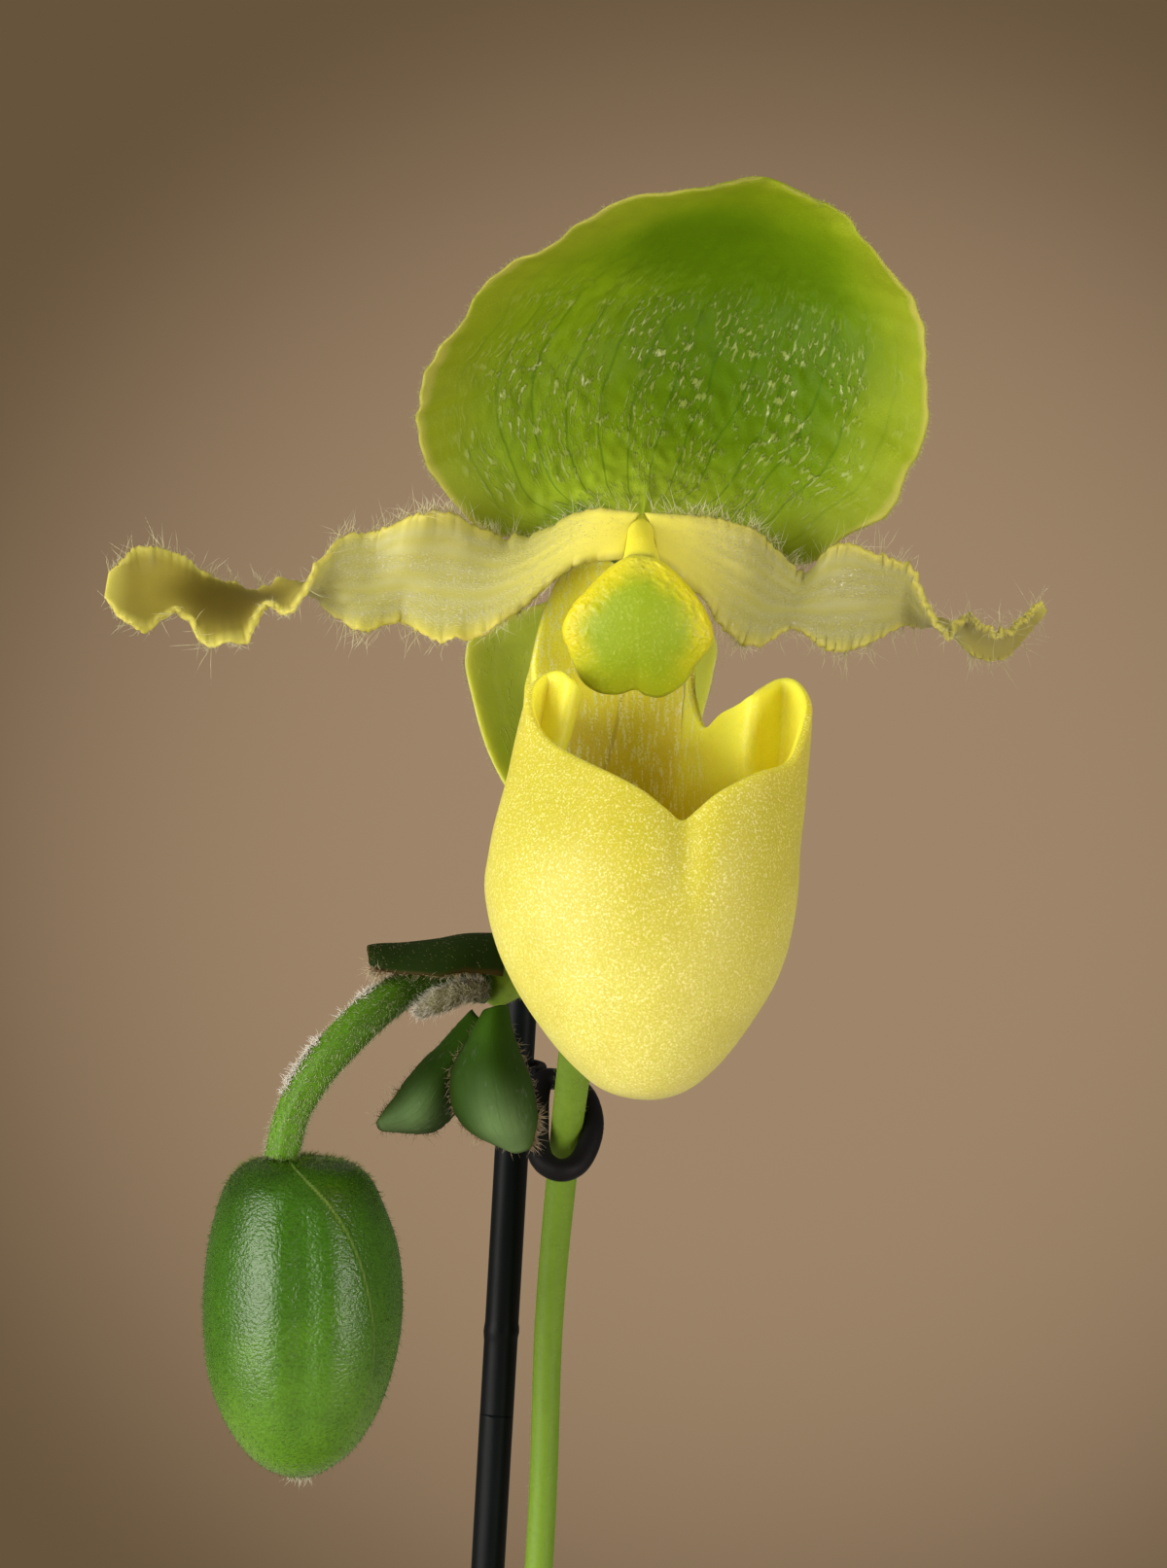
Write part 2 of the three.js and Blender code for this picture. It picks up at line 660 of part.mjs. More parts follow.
function column() {
  const outline = through(SHIELD_OUTLINE, true);
  const bow = (z) => (z > SHIELD_BOW.level ? SHIELD_BOW.above : SHIELD_BOW.below);
  const lean = (z) => SHIELD_FACE + bow(z) * (z - SHIELD_BOW.level) ** 2;
  const ringAt = (share, depth) =>
    Array.from({ length: SHIELD_SIDES }, (_, j) => {
      const [x, z] = outline(j / SHIELD_SIDES).map((value) => value * share);
      const dome = SHIELD_DOME * (1 - share * share);
      return new THREE.Vector3(x, lean(z) - dome + depth, z).add(SHIELD_CENTRE);
    });
  const middle = (depth) => [new THREE.Vector3(0, lean(0) - SHIELD_DOME + depth, 0).add(SHIELD_CENTRE)];
  const front = SHIELD_FRONT_SHARES.map((share) => ringAt(share, 0));
  const edge = [ringAt(1, SHIELD_EDGE), ringAt(SHIELD_BACK_SHARES.rim, SHIELD_THICKNESS)];
  const back = [ringAt(SHIELD_BACK_SHARES.middle, SHIELD_THICKNESS)];
  const shield = skin([middle(0), ...front, ...edge, ...back, middle(SHIELD_THICKNESS)]);
  return join(shield, bar(NECK_ROWS, BAR_STEPS, OVARY_SIDES));
}

// Lip: a hanging pouch. Its level sections are ovals; its wall rises to a free rim with two ears and a claw.
const TOE = -44.1;
const POUCH_HEIGHT = 33;
// Rows are [centre x, half width, centre y, half depth] at even steps of the arc from the toe to the mouth.
const POUCH_ROWS = [
  [0.4, 0, -13, 0],
  [0.1, 3.6, -13, 3.4],
  [0, 6.4, -12.6, 6.2],
  [0.1, 8.8, -12.2, 8.2],
  [0, 11.2, -11.7, 9.6],
  [-0.15, 12.5, -11.2, 10.6],
  [0.15, 12.6, -10.9, 10.8],
  [1.2, 12.2, -9.6, 9.9],
  [2.4, 11.6, -8.6, 9],
];
// Rows round the rim are [bearing from the front in degrees, x, y, z of the rim, x and y of the wall under it]:
// the notch, the right ear that curls in on itself, the claw, the left ear and back to the notch.
const RIM_ROWS = [
  [3, 1.4, -19.6, -20.4, 2.2, -19],
  [16, 3.2, -19.4, -21.6, 4.9, -18.6],
  [30, 5.8, -19, -19.5, 7.6, -17.7],
  [47, 9.1, -17.3, -18, 10.4, -15.9],
  [64, 11.8, -14.6, -17.4, 12.4, -13.5],
  [76, 13, -12.4, -15.8, 13.3, -11.5],
  [86, 13.7, -9.8, -13.5, 13.8, -9.2],
  [96, 13.4, -7, -12.1, 13.7, -6.4],
  [105, 12.1, -5, -11.2, 12.8, -4.3],
  [112, 11.2, -5.8, -11.4, 11.2, -3.9],
  [118, 10.1, -7.2, -11.9, 9.9, -5.8],
  [122, 9.1, -7.4, -12.4, 8.9, -8.4],
  [127, 8.3, -6.6, -13, 7.7, -8],
  [132, 7.6, -5.4, -13.5, 7, -5.4],
  [141, 6.6, -3.6, -14.2, 6.3, -3.4],
  [156, 5.1, -1.8, -15.5, 5.2, -1.2],
  [167, 4.2, -0.4, -12.6, 4.2, -0.2],
  [172, 3.8, 0.2, -7.4, 3.6, 0.2],
  [179, 2.9, 0.7, -4.1, 2.6, 0.5],
  [194, 0, 1, -4.4, -0.2, 0.8],
  [212, -3.2, 0.7, -2.6, -3.4, 0.4],
  [223, -6.2, 0.4, -3.2, -6.2, -0.2],
  [231, -8.4, -0.2, -7, -8.4, -1.2],
  [237, -9.3, -1.4, -11.8, -9, -2.4],
  [243, -8.6, -3, -13.4, -8.2, -3.8],
  [247, -7.4, -4.8, -13.6, -7, -4.8],
  [251, -6, -6.8, -12.9, -5.8, -6.4],
  [256, -5.1, -8.2, -12, -5.2, -8.4],
  [260, -5.4, -7.4, -11, -5.9, -7.6],
  [265, -6.3, -6.4, -10.4, -7, -5.9],
  [272, -7.8, -7.2, -10.8, -8.5, -5.8],
  [280, -8.8, -8.8, -11.6, -9.8, -7.2],
  [287, -9.1, -10.4, -13, -10.1, -9.3],
  [293, -8.8, -11.8, -14.2, -9.9, -11],
  [300, -7.9, -13.2, -15.4, -9.2, -12.8],
  [309, -6.5, -14.9, -16.3, -7.9, -14.8],
  [321, -4.7, -16.8, -17.1, -6.1, -16.8],
  [335, -2.7, -18.6, -17.9, -3.6, -18],
  [350, -0.2, -19.4, -19.2, -0.4, -18.8],
];
const MOUTH_LEVEL = -16; // where the wall has the x and y of its row
const CURL_FOOT = -28; // above this the wall leaves its oval
const CURL_RISE = 13;
const RIM_POWER = 7; // how late the wall turns toward its rim
const LIP_STEPS_AROUND = 2 * RIM_ROWS.length;
const LIP_STEPS_UP = 10;

/** The row [bearing, x, y, z, wall x, wall y] at the share t of the rim; the bearing counts on past 360. */
function rim(t) {
  const count = RIM_ROWS.length;
  const place = t * count;
  const near = [-1, 0, 1, 2].map((step) => {
    const i = Math.floor(place) + step;
    const turn = Math.floor(i / count);
    const [bearing, ...point] = RIM_ROWS[i - turn * count];
    return [bearing + 360 * turn, ...point];
  });
  return through(near)((1 + (place % 1)) / 3);
}

function lip() {
  const section = through(POUCH_ROWS);
  const oval = (bearing, z) => {
    const height = THREE.MathUtils.clamp((z - TOE) / POUCH_HEIGHT, 0, 1);
    const [x, halfWidth, y, halfDepth] = section((2 / Math.PI) * Math.acos(1 - height));
    const angle = THREE.MathUtils.degToRad(bearing);
    return new THREE.Vector3(x + halfWidth * Math.sin(angle), y - halfDepth * Math.cos(angle), z);
  };
  const wall = ([bearing, , , , wallX, wallY], z) => {
    const curl = new THREE.Vector3(wallX, wallY, MOUTH_LEVEL).sub(oval(bearing, MOUTH_LEVEL));
    return oval(bearing, z).addScaledVector(curl, smooth((z - CURL_FOOT) / CURL_RISE));
  };
  const surface = (t, v) => {
    const row = rim(t);
    const [, x, y, z] = row;
    const height = TOE + (z - TOE) * (1 - Math.cos((v * Math.PI) / 2));
    const drift = new THREE.Vector3(x, y, z).sub(wall(row, z));
    return wall(row, height).addScaledVector(drift, v ** RIM_POWER);
  };
  const inner = [];
  const outer = [];
  for (let i = 1; i <= LIP_STEPS_UP; i++) {
    const v = i / LIP_STEPS_UP;
    const rings = [[], []];
    for (let j = 0; j < LIP_STEPS_AROUND; j++) {
      const t = j / LIP_STEPS_AROUND;
      const round = surface(t + NUDGE, v).sub(surface(t - NUDGE + (j === 0 ? 1 : 0), v));
      const rise = surface(t, Math.min(v + NUDGE, 1)).sub(surface(t, v - NUDGE));
      const half = round.cross(rise).setLength(LIP_THICKNESS / 2);
      rings[0].push(surface(t, v).add(half));
      rings[1].push(surface(t, v).sub(half));
    }
    outer.push(rings[0]);
    inner.unshift(rings[1]);
  }
  const toe = surface(0, 0);
  const outerToe = toe.clone().setZ(toe.z - LIP_THICKNESS / 2);
  const innerToe = toe.clone().setZ(toe.z + LIP_THICKNESS / 2);
  return skin([[outerToe], ...outer, ...inner, [innerToe]]);
}

// Petals and sepals: rows of [x, y, z] from base to tip, for one margin, the midrib and the other margin
const DORSAL_SEPAL = [
  [
    [-2.2, 3.4, 1.7], [-8.2, 6.4, 0.4], [-13.4, 6.6, 0.9], [-17.3, 3.6, 5.6], [-18.8, 1, 10.4],
    [-17.7, 0, 13.7], [-15.4, -2, 18.1], [-12.8, -3, 20.9], [-8, -4, 24.4], [-2.5, -4, 28.3],
    [5.1, -3, 29.8], [10, -0.2, 30.3],
  ],
  [
    [0.1, 3.7, 1.8], [0.4, 5.8, 3.4], [0.8, 8.2, 5.6], [1.5, 11, 9], [2.6, 13, 12.6], [3.9, 14, 15.9],
    [5.3, 14, 18.8], [6.7, 13, 21.3], [8.1, 10, 24], [9.4, 6, 26.5], [10.1, 3, 28.5], [10.7, 0, 30.1],
  ],
  [
    [2.4, 3.8, 1.6], [9.5, 7.8, -1.2], [14.1, 9, -2.1], [17.3, 7, 0.3], [20.8, 5, 2.6], [22.8, 5, 6.3],
    [23.7, 5, 10.3], [24, 5, 15.7], [22.2, 4, 20.5], [19, 2, 25.1], [15.3, 1, 27.9], [11.4, 0.1, 29.7],
  ],
];
const SYNSEPAL = [
  [
    [-2, 3.4, -2.9], [-8.1, 6, -5.2], [-13.6, 7, -7.3], [-14.8, 7, -9.6], [-14.4, 7, -12.6],
    [-12.5, 5.4, -18.6], [-8.3, 3.6, -25], [-4.6, 2.8, -28],
  ],
  [
    [0, 3.7, -3], [-2.6, 7.6, -6], [-4.2, 10, -9], [-4.8, 11.2, -12], [-4.8, 11.2, -15],
    [-4.5, 9.4, -20.6], [-4.2, 6, -25.6], [-3.9, 3.4, -28.4],
  ],
  [
    [2, 3.6, -2.9], [4.6, 6.8, -5.4], [6.4, 8.6, -8.6], [6.2, 9, -11.1], [5.5, 9, -14], [3.7, 7, -19.6],
    [0, 4.6, -25.6], [-3.2, 3.2, -28.1],
  ],
];
const PETAL_LEFT = [
  [
    [-0.7, -0.6, 2.8], [-4.6, -0.6, 2.9], [-9.3, 3.4, 0.6], [-12.6, 3.4, 0.8], [-16, 0, 2.7],
    [-18.9, -1, 2.5], [-21.8, 1.6, 1.1], [-24.9, 1, 0.6], [-27, -2.6, -2], [-29, -4, -5.4],
    [-31.1, -0.8, -5], [-32.6, -3.6, -7.7], [-35.9, -3, -8.1], [-38.6, 1.4, -5.7], [-41.7, -1.8, -7],
    [-44.6, -0.4, -4.4],
  ],
  [
    [-1.8, -1.1, 1.3], [-5, -1.6, 0.6], [-9.6, -0.8, -2.2], [-12.9, 0, -3.2], [-16.3, 0.6, -2.8],
    [-19.6, 0.6, -2.3], [-22.5, 1, -3], [-25, 0.2, -2.9], [-27.4, 0.6, -3.5], [-29.4, 1.8, -4.3],
    [-31.6, 3.2, -4.9], [-33.7, 3.4, -5.3], [-36.4, 3.4, -5.1], [-39, 3.4, -4.4], [-41.8, 2.4, -4.2],
    [-44.5, 0.6, -3.4],
  ],
  [
    [-2.1, -1.4, -0.3], [-5.6, -2.2, -1.8], [-10.1, -3, -5.3], [-13.2, -4, -7.2], [-16.9, -4, -7.8],
    [-20, 0.4, -6.6], [-23.2, -2, -7.1], [-25.4, 1.4, -6.2], [-27.6, 4.2, -4.2], [-29.8, 6, -3.2],
    [-32.2, 7, -4.2], [-34.6, 6.8, -3.6], [-36.6, 6, -2.7], [-39, 5, -0.9], [-42, 3.4, -0.4],
    [-44.4, 1.6, -2.4],
  ],
];
const PETAL_RIGHT = [
  [
    [0.7, -0.6, 2.8], [4.8, -0.6, 2.4], [8.7, 1, 1.5], [11.2, 3.6, -0.4], [13.8, 5.4, -2.7],
    [16.4, 3.6, -0.1], [20, 4.2, -1.1], [22.8, 5.6, -2.3], [24.3, 5.6, -6], [25.8, 5.4, -7.9],
    [27.4, 8.6, -6.3], [29, 8.2, -7.3], [30.7, 9.4, -8], [32.4, 12, -7], [34.3, 13.6, -5.4],
  ],
  [
    [1.5, -1.1, 1.3], [5, -1, -1], [8.1, 0, -2.7], [10.4, 2, -4.3], [12.9, 2.8, -5.1],
    [15.6, 3.6, -4.5], [19.4, 5.6, -4.5], [22.2, 7.4, -4.9], [24.4, 8.4, -6.7], [26, 10.6, -7.6],
    [27.7, 12.4, -8], [29.4, 13, -8.9], [31.2, 13.8, -9], [32.9, 14.8, -7.5], [34.6, 14.6, -5.9],
  ],
  [
    [1.8, -1.4, -0.3], [4.8, -2.4, -4.4], [7.1, -2, -7.3], [9.5, -1, -8.5], [12.4, 2, -7.7],
    [15.2, 3, -8.4], [18.6, 4.6, -8.6], [21.8, 8, -7.4], [24, 11, -7.4], [26, 14.4, -7.2],
    [27.8, 14.2, -9.6], [29.8, 15.4, -10.7], [31.8, 17.2, -10.2], [33.4, 17.4, -8.2],
    [34.9, 15.6, -6.4],
  ],
];

// Bud: an egg with flattened shoulders. Rows are [centre x, radius, z] from its crown to its tip.
const BUD_ROWS = [
  [-29.4, 0, -51.4],
  [-29, 3.4, -51.7],
  [-28.7, 5.4, -53],
  [-28.6, 6.8, -55.4],
  [-28.3, 8, -59],
  [-28.3, 8.45, -63],
  [-28.4, 8.3, -66.6],
  [-28.5, 7.6, -70],
  [-28.5, 6.2, -73.4],
  [-28.6, 4.2, -76.2],
  [-28.7, 2, -77.9],
  [-28.8, 0, -78.4],
];

const BUD_STEPS = 16;
const BUD_SIDES = 20;
const BUD_GROOVE = { angle: 4.78, width: 0.2, depth: 0.035 };
// The sepal that laps over its neighbour stands out up to this angle and ends there in a low step.
const BUD_LAP = { angle: 5.5, step: 0.25, depth: 0.06, end: 0.5, fade: 0.4 };

function bud() {
  const rows = through(BUD_ROWS);
  const rings = [];
  for (let i = 0; i <= BUD_STEPS; i++) {
    const [x, radius, z] = rows(i / BUD_STEPS);
    const count = i === 0 || i === BUD_STEPS ? 1 : BUD_SIDES;
    rings.push(
      Array.from({ length: count }, (_, j) => {
        const angle = (2 * Math.PI * j) / BUD_SIDES;
        const off = (angle - BUD_GROOVE.angle) / BUD_GROOVE.width;
        const groove = BUD_GROOVE.depth * Math.exp(-off * off);
        const past = smooth((angle - BUD_LAP.angle) / BUD_LAP.step);
        const before = smooth((BUD_LAP.end - angle) / BUD_LAP.fade);
        const reach = radius * (1 - groove) * (1 - BUD_LAP.depth * (past + before));
        return new THREE.Vector3(x + reach * Math.cos(angle), reach * Math.sin(angle), z);
      }),
    );
  }
  return skin(rings);
}

// Bud stalk, and the woolly young tip of the rachis beside it
const BUD_STALK_ROWS = [
  [-13, 6.3, -37.8, 1.4],
  [-16.8, 5.2, -36.9, 1.5],
  [-19.4, 3.8, -37.4, 1.5],
  [-22, 1.8, -38.9, 1.55],
  [-24.8, 0.4, -41.4, 1.6],
  [-27.3, 0, -44.6, 1.6],
  [-29, 0, -48, 1.55],
  [-29.7, 0, -50.85, 1.5],
];
const WOOLLY_TIP_ROWS = [
  [-13.4, 4.2, -38.2, 1.1],
  [-15, 1.4, -38.3, 1.3],
  [-17.1, 0, -39.1, 1.5],
  [-19, -0.2, -39.9, 0.8],
];

// Bracts: small boats, folded along the keel
const BRACT_UPPER = [
  [
    [-11.6, 2.6, -36.4], [-14.7, 1, -35.9], [-17.1, 0, -36.1], [-20.1, 1, -36], [-22.1, 2.4, -35.7],
    [-22.9, 3.8, -35.3],
  ],
  [
    [-11.2, 7.4, -33.4], [-14.6, 6.4, -33.1], [-17.2, 6, -33.4], [-20, 5.8, -34], [-22, 5, -34.5],
    [-23.1, 4.4, -34.9],
  ],
  [
    [-11.6, 11.4, -37], [-14.9, 11, -37.2], [-17.4, 10.6, -37.2], [-20.4, 9, -36.6], [-22.1, 6.8, -36],
    [-22.9, 5, -35.4],
  ],
];
const BRACT_LOWER_FRONT = [
  [
    [-13.8, 5.4, -40.2], [-15.5, 3.6, -42], [-15.8, 3, -44.3], [-15.5, 3, -47], [-14.4, 3, -49.4],
    [-11, 3, -50.8],
  ],
  [
    [-12.4, 3.4, -39.8], [-12.6, 0, -41.6], [-12.4, -1.6, -44], [-12, -1.7, -46.6], [-11.4, -0.8, -49],
    [-10.3, 2, -51.2],
  ],
  [
    [-10.9, 5.4, -40.2], [-10.3, 3.6, -42], [-9.7, 3, -44.3], [-9, 3, -46.8], [-9.2, 3, -49],
    [-9.8, 3, -50.8],
  ],
];
const BRACT_LOWER_BACK = [
  [[-14.3, 8.4, -39.9], [-16.9, 7.4, -42.7], [-19, 7, -44.7], [-20.6, 7, -46.9], [-21.9, 6.8, -48.9]],
  [
    [-13.3, 6.6, -40.6], [-15.9, 4.6, -43.8], [-17.6, 3.2, -46.4], [-19.4, 3.6, -48.4],
    [-21.7, 6.2, -49.8],
  ],
  [[-12.3, 8.6, -40.6], [-14.4, 7.4, -45], [-15.4, 7.2, -48.4], [-17.8, 7.2, -50.8], [-21.1, 7, -50.5]],
];
const BRACT_FLOWER = [
  [[-7.4, 18, -36], [-8.2, 19.4, -31], [-7.4, 21.2, -26], [-4.6, 24, -21.4]],
  [[-4.4, 20.6, -37.6], [-4.2, 23.6, -32], [-3.8, 25.2, -26.4], [-3.5, 25.4, -21]],
  [[-1.4, 18.6, -36], [-0.2, 19.6, -31], [-0.4, 21.2, -26], [-2.6, 24, -21.4]],
];

function bract(rows, ...neighbours) {
  return cut(blade(between(...rows), STEPS.bract, BRACT_THICKNESS), ...neighbours);
}

// Ring clip: a tilted ring round the flower stem, joined to an open sleeve on the stake
const CLIP_RING_ROWS = [
  [-6.6, 18.4, -55.4, 0.9],
  [-4.5, 19.4, -54.6, 0.9],
  [-3.2, 21.4, -52, 0.85],
  [-4, 23.8, -49.6, 0.8],
  [-6.3, 24.8, -48.4, 0.8],
  [-8.6, 24.2, -48.4, 0.9],
  [-9.3, 21.8, -51.2, 0.95],
  [-8.9, 19.4, -54.3, 0.95],
];
const CLIP_BRIDGE_ROWS = [
  [-8.8, 23.8, -49, 0.9],
  [-9.9, 25.1, -49.2, 0.9],
];
const CLIP_SIDES = 8;
const SLEEVE_HEIGHT = 5;
const SLEEVE_WALL = 1;
const SLEEVE_LEVEL = -49.5;
const SLEEVE_START = 2.2; // bearing of one end of the open sleeve, in radians
const SLEEVE_SWEEP = 5;
const SLEEVE_STEPS = 9;

function clip() {
  const ring = bar(CLIP_RING_ROWS, BAR_STEPS, CLIP_SIDES, 0, true);
  const bridge = bar(CLIP_BRIDGE_ROWS, 1, CLIP_SIDES);
  const inner = STAKE_RADIUS + SEAT;
  const outline = new THREE.Shape();
  outline.absarc(0, 0, inner + SLEEVE_WALL, SLEEVE_START, SLEEVE_START + SLEEVE_SWEEP, false);
  outline.absarc(0, 0, inner, SLEEVE_START + SLEEVE_SWEEP, SLEEVE_START, true);
  outline.closePath();
  const sleeve = new THREE.ExtrudeGeometry(outline, {
    depth: SLEEVE_HEIGHT,
    bevelEnabled: false,
    curveSegments: SLEEVE_STEPS,
  });
  const share = (SLEEVE_LEVEL - STAKE_MIDDLE.z) / (STAKE_HEAD.z - STAKE_MIDDLE.z);
  const lean = STAKE_HEAD.clone().sub(STAKE_MIDDLE).normalize();
  sleeve.translate(0, 0, -SLEEVE_HEIGHT / 2);
  sleeve.applyQuaternion(new THREE.Quaternion().setFromUnitVectors(new THREE.Vector3(0, 0, 1), lean));
  sleeve.translate(...STAKE_MIDDLE.clone().lerp(STAKE_HEAD, share).toArray());
  return join(ring, sleeve, bridge);
}

// Assembly
const SEPAL_WAVES = { waves: 5.5, height: 0.5, base: 0.15, tip: 0.1, lag: 2.1 };
const stalkSeat = bar(BUD_STALK_ROWS, BAR_STEPS, STALK_SIDES, SEAT);
const rachisTip = cut(bar(WOOLLY_TIP_ROWS, BAR_STEPS, STALK_SIDES), stem(SEAT), stalkSeat);
const dorsalSepal = blade(waved(between(...DORSAL_SEPAL), SEPAL_WAVES), STEPS.dorsal, TEPAL_THICKNESS);
const synsepal = blade(between(...SYNSEPAL), STEPS.synsepal, TEPAL_THICKNESS);
const petalLeft = blade(between(...PETAL_LEFT), STEPS.left, TEPAL_THICKNESS);
const petalRight = blade(between(...PETAL_RIGHT), STEPS.right, TEPAL_THICKNESS);

place(orchid, "pot", pot(), FINISHES.pot());
place(orchid, "potting_mix", mix(), FINISHES.bark());
place(orchid, "crown_and_roots", crownAndRoots(), FINISHES.root());
LEAVES.forEach((shape, i) => place(orchid, `leaf_${i + 1}`, leaf(shape), FINISHES.leaf()));
place(flower, "peduncle", stem(), FINISHES.stem());
place(flower, "stake", stake(), FINISHES.stake());
place(flower, "stake_clip", clip(), FINISHES.clip());
place(flower, "flower_ovary", cut(flowerOvary(), stem(SEAT)), FINISHES.stem());
place(flower, "flower_bract", bract(BRACT_FLOWER, stem(SEAT), flowerOvary(SEAT)), FINISHES.bract());
place(flower, "dorsal_sepal", dorsalSepal, FINISHES.sepal());
place(flower, "synsepal", synsepal, FINISHES.synsepal());
place(flower, "petal_left", petalLeft, FINISHES.petal());
place(flower, "petal_right", petalRight, FINISHES.petal());
place(flower, "lip", lip(), FINISHES.lip());
place(flower, "column", column(), FINISHES.column());
place(flower, "bract_upper", bract(BRACT_UPPER, stem(SEAT)), FINISHES.bract());
place(flower, "bract_lower_front", bract(BRACT_LOWER_FRONT, stem(SEAT)), FINISHES.bract());
place(flower, "bract_lower_back", bract(BRACT_LOWER_BACK, stem(SEAT)), FINISHES.bract());
place(flower, "rachis_tip", rachisTip, FINISHES.wool());
place(flower, "bud_ovary", cut(bar(BUD_STALK_ROWS, BAR_STEPS, STALK_SIDES), stem(SEAT)), FINISHES.stem());
place(flower, "bud", bud(), FINISHES.bud());

export default orchid;
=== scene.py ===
"""Potted slipper orchid: the looks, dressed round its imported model.

Shapes are worked out in millimetres, +Z up, with the flower looking toward -Y, and turned to
metres when a mesh is made. The flower's own parts are written from the point where its petals meet.
"""

import logging
from collections.abc import Callable, Sequence
from dataclasses import dataclass, replace
from enum import Enum

import bpy
import numpy as np
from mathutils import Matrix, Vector


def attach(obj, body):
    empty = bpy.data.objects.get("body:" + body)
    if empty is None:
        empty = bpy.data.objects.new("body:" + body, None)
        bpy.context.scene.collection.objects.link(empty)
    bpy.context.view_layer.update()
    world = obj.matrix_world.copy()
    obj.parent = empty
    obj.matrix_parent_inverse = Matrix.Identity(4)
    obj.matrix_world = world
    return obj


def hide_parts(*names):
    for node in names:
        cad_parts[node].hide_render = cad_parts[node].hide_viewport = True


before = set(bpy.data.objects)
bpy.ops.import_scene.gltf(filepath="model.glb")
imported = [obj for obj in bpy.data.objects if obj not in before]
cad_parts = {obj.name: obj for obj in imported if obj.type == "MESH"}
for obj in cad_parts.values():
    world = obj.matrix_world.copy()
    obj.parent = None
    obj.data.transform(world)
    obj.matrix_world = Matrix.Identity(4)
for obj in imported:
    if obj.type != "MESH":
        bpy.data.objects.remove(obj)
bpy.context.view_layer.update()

Array = np.ndarray
Row = tuple[float, ...]
Rows = Sequence[Row]
Surface = Callable[[Array, Array], Array]
Relief = Callable[[Array, Array, Array], Array]
Socket = bpy.types.NodeSocket

MM = 0.001
FLOWER = np.array([20.0, -24.0, 396.0])
HALF_TURN = np.pi
TURN = 2 * np.pi
log = logging.getLogger("orchid")


class Slot(Enum):
    """Material slots, by name; no piece in this script is given one."""

    POT = "pot"
    BARK = "bark"
    LEAF = "leaf"
    STEM = "stem"
    STAKE = "stake"
    CLIP = "clip"
    SEPAL = "sepal"
    SYNSEPAL = "synsepal"
    PETAL = "petal"
    LIP = "lip"
    COLUMN = "column"
    BRACT = "bract"
    WOOL = "wool"
    BUD = "bud"


# Numbers and curves


def unit(vectors: Array) -> Array:
    """Each vector divided by its length."""
    return vectors / np.maximum(np.linalg.norm(vectors, axis=-1, keepdims=True), 1e-9)


def smooth(x: Array | float) -> Array:
    """Rises from 0 to 1 as x does, level at both ends: x squared times (3 - 2x)."""
    t = np.clip(x, 0.0, 1.0)
    return t * t * (3 - 2 * t)


def bell(x: Array, centre: float, width: float) -> Array:
    """A bump of height 1 round a centre: e to the minus square of the distance over the width."""
    return np.exp(-(((x - centre) / width) ** 2))


def through(rows: Rows, t: Array, closed: bool = False) -> Array:
    """A smooth curve through rows of numbers, an even step of t from row to row.

    Between two rows the value follows a cubic whose slope at each row is half the difference of its
    two neighbours.

    Args:
        rows: The rows that the curve passes through.
        t: Places along the curve, from 0 to 1.
        closed: Whether the last row leads back to the first.

    Returns:
        One row for each place, along a new last axis.
    """
    table = np.asarray(rows, float)
    spans = len(table) if closed else len(table) - 1
    place = np.clip(t, 0.0, 1.0) * spans
    span = np.minimum(place.astype(int), spans - 1)
    f = (place - span)[..., None]
    if closed:
        a, b, c, d = (table[(span + k) % len(table)] for k in (-1, 0, 1, 2))
    else:
        padded = np.vstack([2 * table[0] - table[1], table, 2 * table[-1] - table[-2]])
        a, b, c, d = (padded[span + k] for k in (0, 1, 2, 3))
    slope = 0.5 * (c - a)
    next_slope = 0.5 * (d - b)
    rise = c - b
    bulge = slope + next_slope - 2 * rise
    return b + f * (slope + f * (3 * rise - 2 * slope - next_slope + f * bulge))


def ripple(places: Array, size: float, seed: int, waves: int = 14) -> Array:
    """Smooth random relief, mostly within -1 and 1.

    It is the sum of sine waves that run in random directions with wavelengths round one size.

    Args:
        places: Points of any number of axes, along the last axis.
        size: The middle wavelength, in the places' own unit.
        seed: The seed of the random draw.
        waves: How many waves are summed.

    Returns:
        One height for each place.
    """
    draw = np.random.default_rng(seed)
    directions = unit(draw.normal(size=(waves, places.shape[-1])))
    pace = TURN / (size * draw.uniform(0.6, 1.7, waves))
    phase = draw.uniform(0, TURN, waves)
    return np.sin(places @ (directions * pace[:, None]).T + phase).sum(-1) / np.sqrt(waves)


# Surfaces


@dataclass
class Shell:
    """One closed surface: points in millimetres, faces, and each point's flow vector for patterns."""

    points: Array
    quads: Array
    triangles: Array
    flow: Array

    def outward(self) -> "Shell":
        """Turns every face round if the surface holds a negative volume.

        Returns:
            The surface itself.
        """
        a, b, c, d = (self.points[self.quads[:, k]] for k in range(4))
        volume = np.einsum("ij,ij->", a, np.cross(b, c)) + np.einsum("ij,ij->", a, np.cross(c, d))
        if len(self.triangles):
            a, b, c = (self.points[self.triangles[:, k]] for k in range(3))
            volume += np.einsum("ij,ij->", a, np.cross(b, c))
        if volume < 0:
            self.quads = self.quads[:, ::-1]
            self.triangles = self.triangles[:, ::-1]
        return self


